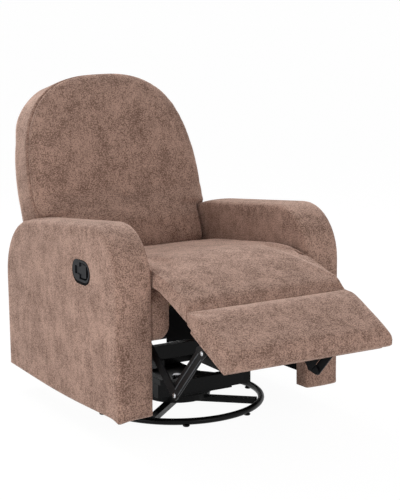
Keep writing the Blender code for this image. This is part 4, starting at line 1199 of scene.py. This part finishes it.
def make_springs():
    wire = SPRING_WIRE
    upward = np.array((0, 0, 1))
    angles = circle(SPRING_SIDES)
    count = SPRING_TURNS * SPRING_STEPS
    for name, _ in SIDES:
        low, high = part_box(f"rocker_spring_{name}")
        radius = (high[0] - low[0]) / 2 - wire
        x, y = (low[0] + high[0]) / 2, (low[1] + high[1]) / 2 - SETBACK
        loops = []
        for k in range(count + 1):
            a = 2 * pi * k / SPRING_STEPS
            out = np.array((cos(a), sin(a), 0.0))
            height = low[2] + wire + (high[2] - low[2] - 2 * wire) * k / count
            place = np.array((x, y, height)) + out * radius
            loops.append([tuple(place + wire * (out * cos(b) + upward * sin(b))) for b in angles])
        spring = mesh_object(f"coil_{name}", *loops_mesh(loops), ZINC)
        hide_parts(f"rocker_spring_{name}")
        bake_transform(spring)


def rivet(place, side, face):
    """A domed rivet head on a link's face, as points and faces."""
    dome = ((1, 0.0), (1, 0.35), (0.86, 0.72), (0.55, 0.95), (0.2, 1))
    angles = circle(RIVET_SIDES)
    loops = []
    for across, up in dome:
        x = face + side * (RIVET_HEIGHT * up)
        radius = RIVET_RADIUS * across
        loops.append([(x, place[0] + radius * cos(a), place[1] + radius * sin(a)) for a in angles])
    return loops_mesh(loops)


def joined(parts):
    points, faces = [], []
    for p, f in parts:
        base = len(points)
        points += list(p)
        faces += [tuple(i + base for i in face) for face in f]
    return points, faces


def rib(start, end, offset, side, face, steps=12, sides=10):
    """A raised edge beside the line between two rivets, as points and faces."""
    start, end = np.array(start), np.array(end)
    along = (end - start) / np.linalg.norm(end - start)
    across = np.array((-along[1], along[0]))
    first, last = start + along * LINK_EDGE_END, end - along * LINK_EDGE_END
    loops = []
    for k in range(steps + 1):
        middle = first + (last - first) * k / steps + across * offset
        fullness = sin(pi * min(k, steps - k, 2) / 4)
        ring = []
        for a in circle(sides):
            y, z = middle + across * LINK_EDGE_HALF * cos(a)
            ring.append((face + side * LINK_EDGE_HEIGHT * fullness * (0.5 + 0.5 * sin(a)), y, z))
        loops.append(ring)
    return loops_mesh(loops)


def make_rivets():
    """Rivet heads and folded edges on the front links, the edges in a lighter grey that is painted
    highlight.
    """
    for name, side in SIDES:
        low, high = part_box(f"front_link_{name}")
        outer = side * max(abs(low[0]), abs(high[0]))
        rivets = [rivet(place, side, outer) for place in (LINK_KNEE, LINK_TOE)]
        heads = mesh_object(f"front_rivets_{name}", *joined(rivets), ZINC)
        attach(heads, "front_links")
        edges = [rib(LINK_KNEE, LINK_TOE, offset, side, outer) for offset in (LINK_EDGE, -LINK_EDGE)]
        # The edges are lighter grey: painted highlight
        folds = mesh_object(f"front_link_edges_{name}", *joined(edges), HIGHLIGHT_STEEL)
        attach(folds, "front_links")


def dress_nodes():
    """Paint for all nodes, and softened edges for those that show as they are."""
    slots = {row["node"]: row["material_slot"] for row in frame["record"]["subparts"]}
    for name, obj in NODES.items():
        look = SLOT_LOOK[slots[name]]
        if name.startswith(LINK_NODES):
            look = LINK_STEEL
        obj.data.materials.clear()
        obj.data.materials.append(look)
        if obj.hide_render or name == "handle_pin":
            continue
        weld = obj.modifiers.new("weld", "WELD")
        weld.merge_threshold = WELD_GAP
        bevel = obj.modifiers.new("edges", "BEVEL")
        bevel.width = SOFT_EDGE
        bevel.segments = 2
        bevel.limit_method = "ANGLE"
        bevel.angle_limit = EDGE_ANGLE
        bevel.harden_normals = False


# Stage, light and camera


def seen_rays(tree):
    """A value of 1 for rays that the camera sees, glossy ones too, and 0 for those that only light."""
    path = tree.nodes.new("ShaderNodeLightPath")
    seen = path.outputs["Is Camera Ray"]
    for kind in ("Is Glossy Ray", "Is Transmission Ray"):
        either = tree.nodes.new("ShaderNodeMath")
        either.operation = "MAXIMUM"
        tree.links.new(seen, either.inputs[0])
        tree.links.new(path.outputs[kind], either.inputs[1])
        seen = either.outputs["Value"]
    return seen


def make_stage():
    size = FLOOR_HALF
    points = [(-size, -size, 0), (size, -size, 0), (size, size, 0), (-size, size, 0)]
    m = Shader("pale_floor")
    m.set(Base_Color=(0.8, 0.8, 0.8, 1), Roughness=0.9)
    glow = m.node("ShaderNodeEmission", Strength=FLOOR_GLOW)
    mix = m.node("ShaderNodeMixShader")
    m.link(m.math("MULTIPLY", seen_rays(m.tree), GLOW_SHARE), mix.inputs["Fac"])
    m.link(m.shader.outputs["BSDF"], mix.inputs[1])
    m.link(glow.outputs["Emission"], mix.inputs[2])
    m.link(mix.outputs["Shader"], m.tree.nodes["Material Output"].inputs["Surface"])
    floor = mesh_object("floor", points, [(0, 1, 2, 3)], m.material, smooth=False)


def area_light(name, place, target, size, power):
    data = bpy.data.lights.new(name, "AREA")
    data.shape = "SQUARE"
    data.size = size
    data.energy = power
    obj = linked(name, data)
    place = Vector(place)
    obj.location = place
    obj.rotation_euler = (Vector(target) - place).to_track_quat("-Z", "Y").to_euler()


def make_light():
    world = bpy.data.worlds.new("studio")
    bpy.context.scene.world = world
    world.use_nodes = True
    tree = world.node_tree
    back = tree.nodes["Background"]
    back.inputs["Color"].default_value = (1, 1, 1, 1)
    level = tree.nodes.new("ShaderNodeMapRange")
    level.inputs["To Min"].default_value = WORLD_LEVEL
    level.inputs["To Max"].default_value = 1.0
    tree.links.new(seen_rays(tree), level.inputs["Value"])
    tree.links.new(level.outputs["Result"], back.inputs["Strength"])
    for lamp in LAMPS:
        area_light(*lamp)


def make_camera():
    place = Vector(set_back(CAMERA_PLACE))
    turn, rise, roll = CAMERA_TURN, CAMERA_RISE, CAMERA_ROLL
    back = Vector((sin(turn) * cos(rise), -cos(turn) * cos(rise), sin(rise)))
    right = (-back).cross(Vector((0, 0, 1))).normalized()
    up = right.cross(-back)
    right, up = cos(roll) * right + sin(roll) * up, -sin(roll) * right + cos(roll) * up
    data = bpy.data.cameras.new("camera")
    data.lens = CAMERA_LENS
    data.clip_end = CAMERA_REACH
    obj = linked("camera", data)
    rows = [(right[i], up[i], back[i], place[i]) for i in range(3)]
    obj.matrix_world = Matrix((*rows, (0, 0, 0, 1)))
    bpy.context.scene.camera = obj


make_camera()
make_light()
make_stage()
for arm_name, arm_side in SIDES:
    make_arm(arm_name, arm_side)
make_back()
make_seat()
make_footrest_pad()
make_footrest_board()
make_rails()
make_dust_cloth()
make_base()
make_springs()
make_rivets()
make_cup_rim()
dress_nodes()
bpy.context.scene.view_settings.view_transform = "Standard"

bpy.context.view_layer.update()
